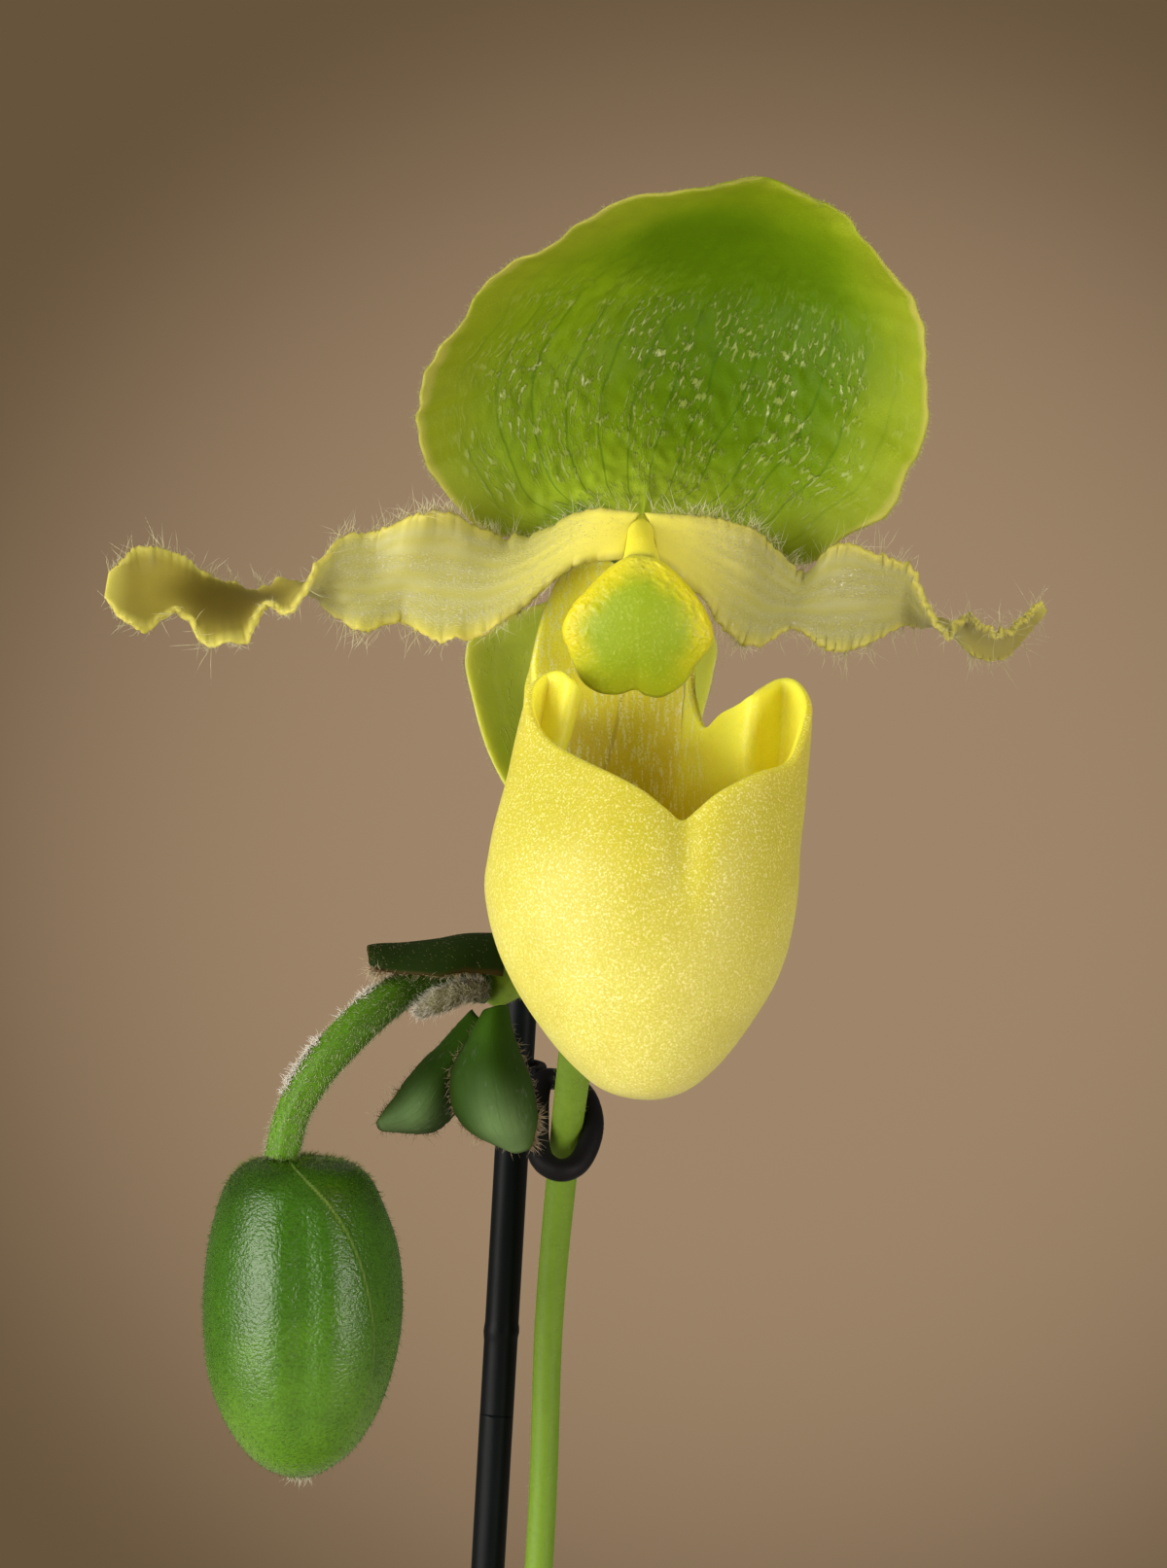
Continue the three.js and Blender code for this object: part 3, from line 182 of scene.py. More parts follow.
def ring_faces(rows: int, sides: int, wrap: bool) -> tuple[Array, Array]:
    """The faces of a surface through rings of points.

    Args:
        rows: How many rings there are.
        sides: How many points each ring has.
        wrap: Whether the last ring meets the first; if not, a pole point closes each end.

    Returns:
        Quads and triangles. The first pole follows the rings' points, and the last pole follows it.
    """
    span = np.arange(rows if wrap else rows - 1)[:, None]
    side = np.arange(sides)[None, :]
    above = (span + 1) % rows
    beside = (side + 1) % sides
    below, above = span * sides, above * sides
    corners = (below + side, below + beside, above + beside, above + side)
    quads = np.stack(np.broadcast_arrays(*corners), -1).reshape(-1, 4)
    if wrap:
        return quads, np.zeros((0, 3), int)
    ring = np.arange(sides)
    after = (ring + 1) % sides
    first = np.full(sides, rows * sides)
    top = (rows - 1) * sides
    foot = np.stack([first, after, ring], -1)
    head = np.stack([first + 1, top + ring, top + after], -1)
    return quads, np.vstack([foot, head])


def skin(rings: Array, poles: Sequence[Array] | None = None, flow: Array | None = None) -> Shell:
    """A closed surface through rings of points.

    Args:
        rings: Points as rows of rings.
        poles: The points that close the two ends, or None for rings that meet end to end.
        flow: A vector for each point of the rings; the poles take their ring's mean.

    Returns:
        The surface, with its faces outward.
    """
    rows, sides, _ = rings.shape
    if flow is None:
        share = np.linspace(0, 1, rows)[:, None] * np.ones(sides)
        angle = np.linspace(0, TURN, sides, endpoint=False)
        flow = np.stack([np.cos(angle) + 0 * share, share, np.sin(angle) + 0 * share], -1)
    points = rings.reshape(-1, 3)
    flow_rows = flow.reshape(-1, 3)
    if poles is not None:
        points = np.vstack([points, *[np.reshape(pole, (1, 3)) for pole in poles]])
        flow_rows = np.vstack([flow_rows, flow[:1].mean(1), flow[-1:].mean(1)])
    quads, triangles = ring_faces(rows, sides, poles is None)
    return Shell(points, quads, triangles, flow_rows).outward()


def repeated(template: Shell, points: Array, flow: Array) -> Shell:
    """Many copies of one small surface.

    Args:
        template: The surface whose faces are copied.
        points: Each copy's points, as copies by points by three.
        flow: Each copy's flow vectors, in the same layout.

    Returns:
        All copies as one set of points and faces.
    """
    copies, count, _ = points.shape
    start = (np.arange(copies) * count)[:, None, None]
    quads = (template.quads[None] + start).reshape(-1, 4)
    triangles = (template.triangles[None] + start).reshape(-1, 3)
    return Shell(points.reshape(-1, 3), quads, triangles, flow.reshape(-1, 3))


def slopes(surface: Surface, u: Array, v: Array, step: float) -> tuple[Array, Array]:
    """How far a surface moves along u and across v, from a step before to a step after.

    Args:
        surface: The surface.
        u: Places along it, from 0 to 1.
        v: Places across it, from -1 to 1.
        step: The step, cut short at the surface's edges.

    Returns:
        The two movements.
    """
    along = surface(np.minimum(u + step, 1), v) - surface(np.maximum(u - step, 0), v)
    across = surface(u, np.minimum(v + step, 1)) - surface(u, np.maximum(v - step, -1))
    return along, across


@dataclass
class Sheet:
    """A petal, sepal, bract or leaf: a surface with an even thickness that thins to a round margin.

    The flow vector holds the place across (-1 to 1), the place along (0 to 1) and the side: 1 on the
    front face and -1 on the back. The front is the face that the normal leaves, or the other at -1.
    """

    surface: Surface
    thickness: float
    steps_along: int
    steps_across: int
    relief: Relief | None = None
    front: int = 1
    nudge: float = 0.002

    def facing(self, u: Array, v: Array) -> tuple[Array, Array, Array]:
        """The surface's own directions at (u, v): its normal, along it and across it."""
        along, across = slopes(self.surface, u, v, self.nudge)
        return unit(np.cross(along, across)), unit(along), unit(across)

    def shell(self) -> Shell:
        """The two faces, half the thickness each way along the normal, sewn together at the margin.

        The thickness is its full value times the root of (1 - the eighth power of the place
        across), and falls to nothing at both ends in the same way, so every margin is round.

        Returns:
            The closed surface.
        """
        lean = np.linspace(-0.5 * HALF_TURN, 0.5 * HALF_TURN, self.steps_across + 1)
        v_row = 0.35 * np.sin(lean) + 0.65 * lean / (0.5 * HALF_TURN)
        u_row = 0.5 - 0.5 * np.cos(np.linspace(0, HALF_TURN, self.steps_along + 1))
        u_row = 0.3 * u_row + 0.7 * np.linspace(0, 1, self.steps_along + 1)
        u, v = np.meshgrid(u_row, v_row, indexing="ij")
        points = self.surface(u, v)
        normal = self.facing(u, v)[0]
        if self.relief is not None:
            points = points + normal * self.relief(u, v, points)[..., None]
        thin = np.sqrt(np.clip(1 - v**8, 0, 1)) * np.sqrt(np.clip(1 - (2 * u - 1) ** 40, 0, 1))
        half = normal * (0.5 * self.thickness * thin)[..., None]
        rows, sides = u.shape
        front_index = np.arange(rows * sides).reshape(rows, sides)
        edge = np.zeros((rows, sides), bool)
        edge[[0, -1], :] = True
        edge[:, [0, -1]] = True
        back_index = np.where(edge, front_index, 0)
        back_index[~edge] = rows * sides + np.arange((~edge).sum())
        side = np.full_like(u, self.front)
        flow = np.stack([v, u, side], -1)
        back_flow = np.stack([v, u, -side], -1)
        all_points = np.vstack([(points + half).reshape(-1, 3), (points - half)[~edge]])
        all_flow = np.vstack([flow.reshape(-1, 3), back_flow[~edge]])

        def quads(index: Array, order: tuple[int, ...]) -> Array:
            """The grid's quads in one turning direction."""
            corners = (index[:-1, :-1], index[1:, :-1], index[1:, 1:], index[:-1, 1:])
            return np.stack([corners[k] for k in order], -1).reshape(-1, 4)

        faces = np.vstack([quads(front_index, (0, 1, 2, 3)), quads(back_index, (0, 3, 2, 1))])
        return Shell(all_points, faces, np.zeros((0, 3), int), all_flow).outward()


@dataclass
class Tube:
    """A round bar along rows of [x, y, z, radius], with domed ends.

    Each ring stands square to the path; its first point lies across a fixed direction.
    """

    rows: Rows
    steps_per_row: int = 8
    sides: int = 24
    across: tuple[float, float, float] = (0.0, 1.0, 0.0)
    closed: bool = False
    dome: float = 0.35
    relief: Relief | None = None
    nudge: float = 0.004

    def frame(self, t: Array) -> tuple[Array, Array, Array, Array, Array]:
        """The path and its own directions at some places.

        Args:
            t: Places along the path, from 0 to 1.

        Returns:
            The point, the radius, the forward direction and the two directions square to it.
        """
        row, ahead, behind = (
            through(self.rows, place % 1 if self.closed else place, self.closed)
            for place in (t, t + self.nudge, t - self.nudge)
        )
        forward = unit(ahead[..., :3] - behind[..., :3])
        side = unit(np.cross(np.array(self.across), forward))
        return row[..., :3], row[..., 3], forward, side, np.cross(forward, side)

    def at(self, t: Array, angle: Array) -> tuple[Array, Array]:
        """Points on the bar: the middle plus the radius along each direction, plus any relief.

        Args:
            t: Places along the path, from 0 to 1.
            angle: Bearings round it, in radians.

        Returns:
            The points and the directions that they face.
        """
        centre, radius, _, side, up = self.frame(t)
        out = side * np.cos(angle)[..., None] + up * np.sin(angle)[..., None]
        point = centre + out * radius[..., None]
        if self.relief is not None:
            point = point + out * self.relief(t, angle, point)[..., None]
        return point, out

    def shell(self) -> Shell:
        """Rings along the path; at an open end they shrink as a quarter circle onto a pole.

        Returns:
            The closed surface.
        """
        spans = len(self.rows) if self.closed else len(self.rows) - 1
        count = spans * self.steps_per_row
        angle_row = np.linspace(0, TURN, self.sides, endpoint=False)
        if self.closed:
            t, angle = np.meshgrid(np.arange(count) / count, angle_row, indexing="ij")
            return skin(self.at(t, angle)[0])
        t, angle = np.meshgrid(np.linspace(0, 1, count + 1), angle_row, indexing="ij")
        body = self.at(t, angle)[0]
        rings = [body]
        poles = []
        for end, sign in ((0, -1), (-1, 1)):
            centre, radius, forward, _, _ = self.frame(np.array([float(end != 0)]))
            turn = np.linspace(0, 0.5 * HALF_TURN, 6)[1:-1]
            cosine, sine = np.cos(turn)[:, None, None], np.sin(turn)[:, None, None]
            reach = sign * self.dome * radius * forward
            caps = centre + (body[end] - centre) * cosine + reach * sine
            poles.append((centre + reach)[0])
            rings = [caps[::-1], *rings] if end == 0 else [*rings, caps]
        return skin(np.concatenate(rings), poles)


def turned(profile: Rows, sides: int) -> Shell:
    """A turned solid about Z; its outline starts and ends on the axis.

    Args:
        profile: The outline's points, as [radius, height].
        sides: How many sides a ring has.

    Returns:
        The closed surface.
    """
    outline = np.asarray(profile, float)
    angle = np.linspace(0, TURN, sides, endpoint=False)
    radius = outline[1:-1, 0][:, None]
    height = outline[1:-1, 1][:, None] * np.ones(sides)
    rings = np.stack([radius * np.cos(angle), radius * np.sin(angle), height], -1)
    poles = [np.array([0, 0, outline[0, 1]]), np.array([0, 0, outline[-1, 1]])]
    return skin(rings, poles)


def rounded(profile: Rows, radius: float, steps: int = 4) -> Rows:
    """An outline with each inner corner replaced by an arc-like curve.

    Each corner is cut back by the radius, or by less than half of a short side, and the cut is
    bridged by a quadratic curve that has the corner as its middle control.

    Args:
        profile: Points of [radius, height].
        radius: How far from the corner each curve starts.
        steps: How many pieces each curve has.

    Returns:
        The outline with its corners rounded.
    """
    outline = np.asarray(profile, float)
    result = [outline[:1]]
    t = np.linspace(0, 1, steps + 1)[:, None]
    for before, corner, after in zip(outline[:-2], outline[1:-1], outline[2:]):
        back = before - corner
        on = after - corner
        start = corner + back * min(1, 2 * radius / np.linalg.norm(back)) * 0.5
        end = corner + on * min(1, 2 * radius / np.linalg.norm(on)) * 0.5
        result.append((1 - t) ** 2 * start + 2 * t * (1 - t) * corner + t * t * end)
    result.append(outline[-1:])
    return np.vstack(result)


@dataclass
class Hairs:
    """Fine tapering strands, each a three-sided spike that bends as it leaves its root.

    The middle of a strand is the root, plus its direction times the length times s, plus its bend
    times the length times s squared, for s from 0 at the root to 1 at the tip.
    """

    length: tuple[float, float]
    radius: float
    bend: float
    seed: int
    segments: int = 2

    def shell(self, roots: Array, directions: Array, scale: Array | float = 1.0) -> Shell:
        """Strands from roots, their lengths drawn between the two limits.

        Args:
            roots: Where they start.
            directions: Where they head, at any length.
            scale: A factor for each length.

        Returns:
            All strands as one set of points and faces.
        """
        draw = np.random.default_rng(self.seed)
        count = len(roots)
        sides = 3
        length = (draw.uniform(*self.length, count) * scale)[:, None]
        heading = unit(directions)
        drift = draw.normal(size=(count, 3)) * self.bend
        s = np.linspace(0, 1, self.segments + 1)[None, :, None]
        middle = roots[:, None] + (heading[:, None] * s + drift[:, None] * s * s) * length[:, None]
        side = unit(np.cross(heading, draw.normal(size=(count, 3))))
        up = np.cross(heading, side)
        angle = np.arange(sides) * TURN / sides
        cosine, sine = np.cos(angle)[None, :, None], np.sin(angle)[None, :, None]
        spoke = side[:, None] * cosine + up[:, None] * sine
        width = self.radius * (1 - 0.75 * s[:, :-1] ** 1.5)
        rings = middle[:, :-1, None] + spoke[:, None] * width[..., None]
        points = np.concatenate([rings.reshape(count, -1, 3), middle[:, :1], middle[:, -1:]], 1)
        quads, triangles = ring_faces(self.segments, sides, False)
        template = Shell(points[0], quads, triangles, np.zeros_like(points[0])).outward()
        tint = draw.uniform(0, 1, (count, 1)) * np.ones(points.shape[1])
        along = np.concatenate([np.repeat(s[0, :-1, 0], sides), [0.0, 1.0]]) * np.ones((count, 1))
        flow = np.stack([tint, along, tint], -1)
        return repeated(template, points, flow)


def joined(shells: Sequence[Shell]) -> Shell:
    """Several surfaces as one set of points and faces.

    Args:
        shells: The surfaces.

    Returns:
        One surface that holds them all.
    """
    starts = np.cumsum([0] + [len(shell.points) for shell in shells[:-1]])
    return Shell(
        np.vstack([shell.points for shell in shells]),
        np.vstack([shell.quads + start for shell, start in zip(shells, starts)]),
        np.vstack([shell.triangles + start for shell, start in zip(shells, starts)]),
        np.vstack([shell.flow for shell in shells]),
    )


def make_mesh(name: str, shell: Shell) -> bpy.types.Object:
    """A smooth-shaded Blender object in metres from a surface in millimetres.

    Args:
        name: The object's name.
        shell: The surface.

    Returns:
        The object, linked to the scene.
    """
    mesh = bpy.data.meshes.new(name)
    corners = np.concatenate([shell.quads.ravel(), shell.triangles.ravel()]).astype(np.int32)
    totals = np.concatenate([np.full(len(shell.quads), 4), np.full(len(shell.triangles), 3)])
    starts = np.concatenate([[0], np.cumsum(totals)[:-1]]).astype(np.int32)
    mesh.vertices.add(len(shell.points))
    mesh.vertices.foreach_set("co", (shell.points * MM).astype(np.float32).ravel())
    mesh.loops.add(len(corners))
    mesh.loops.foreach_set("vertex_index", corners)
    mesh.polygons.add(len(totals))
    mesh.polygons.foreach_set("loop_start", starts)
    mesh.polygons.foreach_set("use_smooth", np.ones(len(totals), bool))
    flow = mesh.attributes.new("flow", "FLOAT_VECTOR", "POINT")
    flow.data.foreach_set("vector", shell.flow.astype(np.float32).ravel())
    mesh.update(calc_edges=True)
    mesh.validate()
    piece = bpy.data.objects.new(name, mesh)
    bpy.context.scene.collection.objects.link(piece)
    return piece


# Finishes


def linear(code: str) -> tuple[float, float, float, float]:
    """Turns an sRGB hex colour into linear light.

    Args:
        code: The colour, such as '#e0d84a'.

    Returns:
        Red, green, blue and a full alpha.
    """
    srgb = [int(code[k : k + 2], 16) / 255 for k in (1, 3, 5)]
    red, green, blue = (c / 12.92 if c <= 0.04045 else ((c + 0.055) / 1.055) ** 2.4 for c in srgb)
    return red, green, blue, 1.0


class Graph:
    """A material's or world's node tree, with one way to add each kind of node."""

    def __init__(self, tree: bpy.types.NodeTree) -> None:
        """Empties the tree."""
        self.tree = tree
        tree.nodes.clear()

    def add(self, kind: str, inputs: dict | None = None, **settings: object) -> bpy.types.Node:
        """Adds a node with its settings and links.

        Args:
            kind: The node's type without the leading "ShaderNode".
            inputs: For an input's name or index, either a value or the socket that feeds it.
            **settings: The node's own properties.

        Returns:
            The node.
        """
        node = self.tree.nodes.new("ShaderNode" + kind)
        for key, value in settings.items():
            setattr(node, key, value)
        for key, value in (inputs or {}).items():
            if isinstance(value, Socket):
                self.tree.links.new(value, node.inputs[key])
            else:
                node.inputs[key].default_value = value
        return node

    def math(self, operation: str, *values: object) -> Socket:
        """The result of one sum on numbers or sockets."""
        return self.add("Math", dict(enumerate(values)), operation=operation).outputs[0]

    def times(self, first: object, second: object, plus: object = None) -> Socket:
        """The product of two values, plus a third value if there is one.

        Args:
            first: A number or socket.
            second: A number or socket.
            plus: What is added, if anything.

        Returns:
            The result.
        """
        if plus is None:
            return self.math("MULTIPLY", first, second)
        return self.math("MULTIPLY_ADD", first, second, plus)

    def rest(self, share: object) -> Socket:
        """What a share leaves of 1."""
        return self.math("SUBTRACT", 1.0, share)

    def ramp(self, value: Socket, low: float, high: float) -> Socket:
        """0 below one limit, 1 above the other, smooth between; the limits may fall."""
        inputs = {"Value": value, "From Min": low, "From Max": high}
        return self.add("MapRange", inputs, interpolation_type="SMOOTHSTEP").outputs[0]

    def mix(self, share: object, first: object, second: object, blend: str = "MIX") -> Socket:
        """Two colours mixed by a share."""
        inputs = {"Factor": share, 6: first, 7: second}
        return self.add("Mix", inputs, data_type="RGBA", blend_type=blend).outputs[2]

    def tinted(self, colour: object, *layers: tuple[object, str]) -> Socket:
        """A colour with others laid over it in turn.

        Args:
            colour: The socket or linear colour to start from.
            *layers: Each a share and the sRGB hex colour that is mixed in by that share.

        Returns:
            The last mix.
        """
        for share, code in layers:
            colour = self.mix(share, colour, linear(code))
        return colour

    def noise(self, places: Socket, scale: float, detail: float = 2.0) -> Socket:
        """A cloudy pattern between 0 and 1; the scale is in features a unit of the places."""
        return self.add("TexNoise", {"Vector": places, "Scale": scale, "Detail": detail}).outputs[0]

    def stretched(self, places: Socket, *scale: float) -> Socket:
        """Places multiplied by one factor for each axis."""
        return self.add("Mapping", {"Vector": places, "Scale": scale}).outputs[0]

    def millimetres(self) -> Socket:
        """The place on the piece, in millimetres."""
        return self.stretched(self.add("TexCoord").outputs["Object"], 1 / MM, 1 / MM, 1 / MM)

    def flow(self) -> tuple[Socket, Socket, Socket]:
        """The three parts of the piece's flow vector.

        Returns:
            A socket for each part.
        """
        vector = self.add("Attribute", attribute_name="flow").outputs["Vector"]
        parts = self.add("SeparateXYZ", {0: vector}).outputs
        return parts[0], parts[1], parts[2]

    def bumps(self, *layers: tuple[Socket, float]) -> Socket:
        """A normal bent by one height after another.

        Args:
            *layers: Each a height of 0 to 1 and the depth in millimetres that it stands for.

        Returns:
            The bent normal.
        """
        under = {}
        for height, depth_mm in layers:
            inputs = {"Height": height, "Distance": depth_mm * MM, "Strength": 1.0, **under}
            under = {"Normal": self.add("Bump", inputs).outputs[0]}
        return under["Normal"]

    def shade(
        self,
        colour: object,
        roughness: object,
        specular: object = 0.5,
        normal: Socket | None = None,
        through: float = 0.0,
        radius: Row = (1.0, 1.0, 1.0),
    ) -> None:
        """Ends the material in one principled shader.

        Args:
            colour: The base colour.
            roughness: The roughness.
            specular: The level of the mirror-like part.
            normal: The bent normal, if there is one.
            through: The share of light that enters the surface.
            radius: How far red, green and blue light spreads inside, in millimetres.
        """
        values = {
            "Base Color": colour,
            "Roughness": roughness,
            "Specular IOR Level": specular,
            "Subsurface Weight": through,
            "Subsurface Radius": radius,
            "Subsurface Scale": MM,
        }
        if normal is not None:
            values["Normal"] = normal
        self.add("OutputMaterial", {"Surface": self.add("BsdfPrincipled", values).outputs[0]})


@dataclass(frozen=True)
class Finish:
    """A named finish; each kind paints its own nodes."""

    name: str

    def paint(self, g: Graph) -> None:
        """Builds the nodes.

        Args:
            g: The material's empty graph.
        """
        raise NotImplementedError

    def material(self) -> bpy.types.Material:
        """The finish as a new node material.

        Returns:
            The material.
        """
        material = bpy.data.materials.new(self.name)
        material.use_nodes = True
        self.paint(Graph(material.node_tree))
        return material


@dataclass(frozen=True)
class Tissue(Finish):
    """Living petal, sepal or leaf tissue: thin, veined, lit through, with a fine cell grain.

    Light enters the blade and leaves it softened. Veins run from base to tip. Between them lie
    crinkled clusters of swollen cells, over a real rise in shine and relief: their pale glints are
    painted highlights, and the darkening where they dip is painted shade. Listed places on the
    blade take a colour of painted shade.
    """

    body: str
    margin: str
    base: str
    vein: str
    back: str
    end: str
    # The glint colour is painted highlight on the crinkled cells.
    glint: str = "#ffffff"
    glint_share: float = 0.0
    glint_mm: tuple[float, float] = (0.4, 0.9)
    glint_level: float = 0.54
    cluster_mm: tuple[float, float] = (1.5, 5.0)
    cluster_from: float = 0.5
    glint_zone: tuple[float, float] = (0.05, 0.9)
    soft: float = 0.12
    edge: str = ""
    edge_from: float = 0.965
    # The deep colour is painted shade, laid on each listed place as: the place across, its half width, the
    # place along and its half length.
    deep: str = ""
    painted_shade_places: Rows = ()
    bloom: str = ""
    bloom_share: float = 0.8
    half_width: float = 20.0
    length: float = 34.0
    veins: float = 9.0
    vein_width: float = 0.2
    vein_share: float = 0.35
    vein_until: float = 1.0
    vein_depth: float = 0.04
    margin_from: float = 0.8
    base_until: float = 0.12
    end_from: float = 0.7
    grain: float = 0.3
    grain_depth: float = 0.02
    roughness: float = 0.5
    specular: float = 0.3
    through: float = 0.3
    radius: tuple[float, float, float] = (0.9, 1.0, 0.3)
    cloud: float = 0.1

    def paint(self, g: Graph) -> None:
        """Builds masks for margin, veins and glitter, then colours with painted light and shade, then
        relief.

        Args:
            g: The material's empty graph.
        """
        place = g.millimetres()
        across, along, side = g.flow()
        off_middle = g.math("ABSOLUTE", across)
        wander = g.math("SUBTRACT", g.noise(place, 0.16, 1.0), 0.5)
        edge = g.times(wander, 0.2, off_middle)
        margin = g.math("MAXIMUM", g.ramp(edge, self.margin_from, 1.0), g.ramp(along, 0.95, 1.0))
        inner = g.times(g.rest(margin), g.ramp(along, 0.02, 0.2))
        inner = g.times(inner, g.ramp(along, self.vein_until + 0.02, self.vein_until - 0.3))
        lane = g.times(across, self.veins, g.times(wander, 0.5))
        vein = g.times(g.ramp(g.math("PINGPONG", lane, 0.5), self.vein_width, 0.0), inner)
        unrolled = g.add("CombineXYZ", {0: across, 1: along, 2: side}).outputs[0]

        def streaks(size: tuple[float, float], detail: float) -> Socket:
            """A cloudy pattern stretched along the veins, by its size across and along them."""
            scale = (self.half_width / size[0], self.length / size[1], 7.0)
            return g.noise(g.stretched(unrolled, *scale), 1.0, detail)

        fine = g.noise(place, 1.0 / self.grain, 3.0)
        crinkle = streaks(self.glint_mm, 3.0)
        crest = g.ramp(crinkle, self.glint_level, self.glint_level + self.soft)
        trough_shade = g.ramp(crinkle, self.glint_level - 0.05, self.glint_level - 0.05 - self.soft)
        cluster = streaks(self.cluster_mm, 2.0)
        clusters = g.ramp(cluster, self.cluster_from, self.cluster_from + self.soft)
        low, high = self.glint_zone
        zone = g.times(g.ramp(along, low, low + self.soft), g.ramp(along, high, high - 0.25))
        is_front = g.ramp(side, -0.2, 0.2)
        crinkled = g.times(g.times(g.times(clusters, zone), g.rest(margin)), is_front)
        glitter = g.times(crest, crinkled)
        colour = g.tinted(
            linear(self.body),
            (g.ramp(along, self.end_from, 1.0), self.end),
            (g.ramp(along, self.base_until, 0.0), self.base),
        )
        colour = g.mix(is_front, linear(self.back), colour)
        # Painted shade: the deep colour, strongest at the middle of each listed place.
        for centre, half_across, middle, half_along in self.painted_shade_places:
            aside = g.math("DIVIDE", g.math("SUBTRACT", across, centre), half_across)
            ahead = g.math("DIVIDE", g.math("SUBTRACT", along, middle), half_along)
            far = g.times(aside, aside, g.times(ahead, ahead))
            colour = g.tinted(colour, (g.ramp(far, 1.0, 0.0), self.deep))
        if self.bloom:
            powder = g.times(g.ramp(along, 0.35, 0.85), g.ramp(edge, 0.9, 0.2))
            colour = g.tinted(colour, (g.times(powder, self.bloom_share), self.bloom))
        colour = g.tinted(colour, (margin, self.margin))
        if self.edge:
            outline = g.ramp(g.times(wander, 0.08, off_middle), self.edge_from, 1.0)
            colour = g.tinted(colour, (outline, self.edge))
        vein_faced = g.times(is_front, 0.7 * self.vein_share, 0.3 * self.vein_share)
        # Veins, then painted shade where the crinkles dip and painted highlights on their crests.
        colour = g.tinted(
            colour,
            (g.times(vein, vein_faced), self.vein),
            (g.times(g.times(trough_shade, crinkled), 0.3), self.vein),
            (g.times(glitter, self.glint_share), self.glint),
        )
        cloudy = g.times(g.noise(place, 0.35, 3.0), 2 * self.cloud, 1 - self.cloud)
        tone = g.times(cloudy, g.times(fine, self.cloud, 1 - 0.5 * self.cloud))
        shadow = g.add("CombineColor", {0: tone, 1: tone, 2: tone}).outputs[0]
        relief = ((vein, -self.vein_depth), (glitter, 4 * self.grain_depth), (fine, self.grain_depth))
        g.shade(
            g.mix(1.0, colour, shadow, "MULTIPLY"),
            g.times(glitter, -0.2, self.roughness),
            g.times(glitter, 0.6, self.specular),
            normal=g.bumps(*relief),
            through=self.through,
            radius=self.radius,
        )


@dataclass(frozen=True)
class PouchTissue(Finish):
    """The lip's waxy tissue: yellow, deepening to olive inside, with a fine painted glitter of cells.

    Flow holds the bearing's sine, the height up the wall (0 toe, 1 rim) and 1 outside or -1 inside.
    """

    name: str = "waxy pouch tissue"
    wall: str = "#dcd464"
    toe: str = "#e2da78"
    rim: str = "#cac236"
    inside: str = "#dccc10"
    claw: str = "#f8ec48"
    # The sparkle colour and the claw's streak colour are painted highlights; the colour of the claw's
    # middle line is painted shade.
    sparkle: str = "#fffbc8"
    shadow: str = "#c4b93a"
    gloss: str = "#fbf6c4"
    claw_from: float = -27.5
    ridge_shade: str = "#a39420"
    ridge_at: float = 0.43
    cell_mm: float = 0.18
    roughness: float = 0.42
    specular: float = 0.42
    radius: tuple[float, float, float] = (2.0, 1.7, 0.5)

    def paint(self, g: Graph) -> None:
        """Builds the wall's colours, its cells, the claw's painted shade and highlights, and the relief.

        Args:
            g: The material's empty graph.
        """
        place = g.millimetres()
        sine, height, side = g.flow()
        fine = g.noise(place, 1.0 / self.cell_mm, 3.0)
        cloud = g.noise(place, 0.22)
        upright = g.stretched(place, 3.6, 3.6, 0.45)
        depth = g.add("SeparateXYZ", {0: place}).outputs[1]
        within = g.ramp(side, 0.1, -0.3)
        above_toe, near_rim = g.ramp(height, 0.05, 0.5), g.ramp(height, 0.52, 0.95)
        outer = g.tinted(linear(self.toe), (above_toe, self.wall), (near_rim, self.rim))
        inner = g.tinted(linear(self.inside), (g.ramp(height, 0.7, 0.95), self.claw))
        grainy = g.times(within, -0.75, 1.0)
        bright = g.times(g.ramp(fine, 0.5, 0.7), 0.62)
        dim = g.times(g.ramp(fine, 0.49, 0.33), 0.45)
        at_claw = g.times(within, g.ramp(depth, self.claw_from, self.claw_from + 2.5))
        runs = g.times(g.ramp(g.noise(upright, 1.0), 0.48, 0.6), g.ramp(fine, 0.4, 0.6))
        streak = g.times(at_claw, runs)
        off_ridge = g.math("ABSOLUTE", g.math("ADD", sine, self.ridge_at))
        ridge_shade = g.times(at_claw, g.ramp(off_ridge, 0.03, 0.0))
        # Painted light: cream sparkle, mostly on the outer wall, and pale streaks on the claw are painted
        # highlights, and the darker line down the claw's middle is painted shade.
        colour = g.tinted(
            g.mix(within, outer, inner),
            (g.times(bright, grainy), self.sparkle),
            (g.times(dim, grainy), self.shadow),
            (g.times(g.ramp(cloud, 0.35, 0.7), 0.25), self.shadow),
            (g.times(ridge_shade, 0.45), self.ridge_shade),
            (g.times(streak, 0.85), self.gloss),
        )
        g.shade(
            colour,
            g.times(streak, -0.2, self.roughness),
            self.specular,
            normal=g.bumps((cloud, 0.12), (fine, 0.06)),
            through=1.0,
            radius=self.radius,
        )


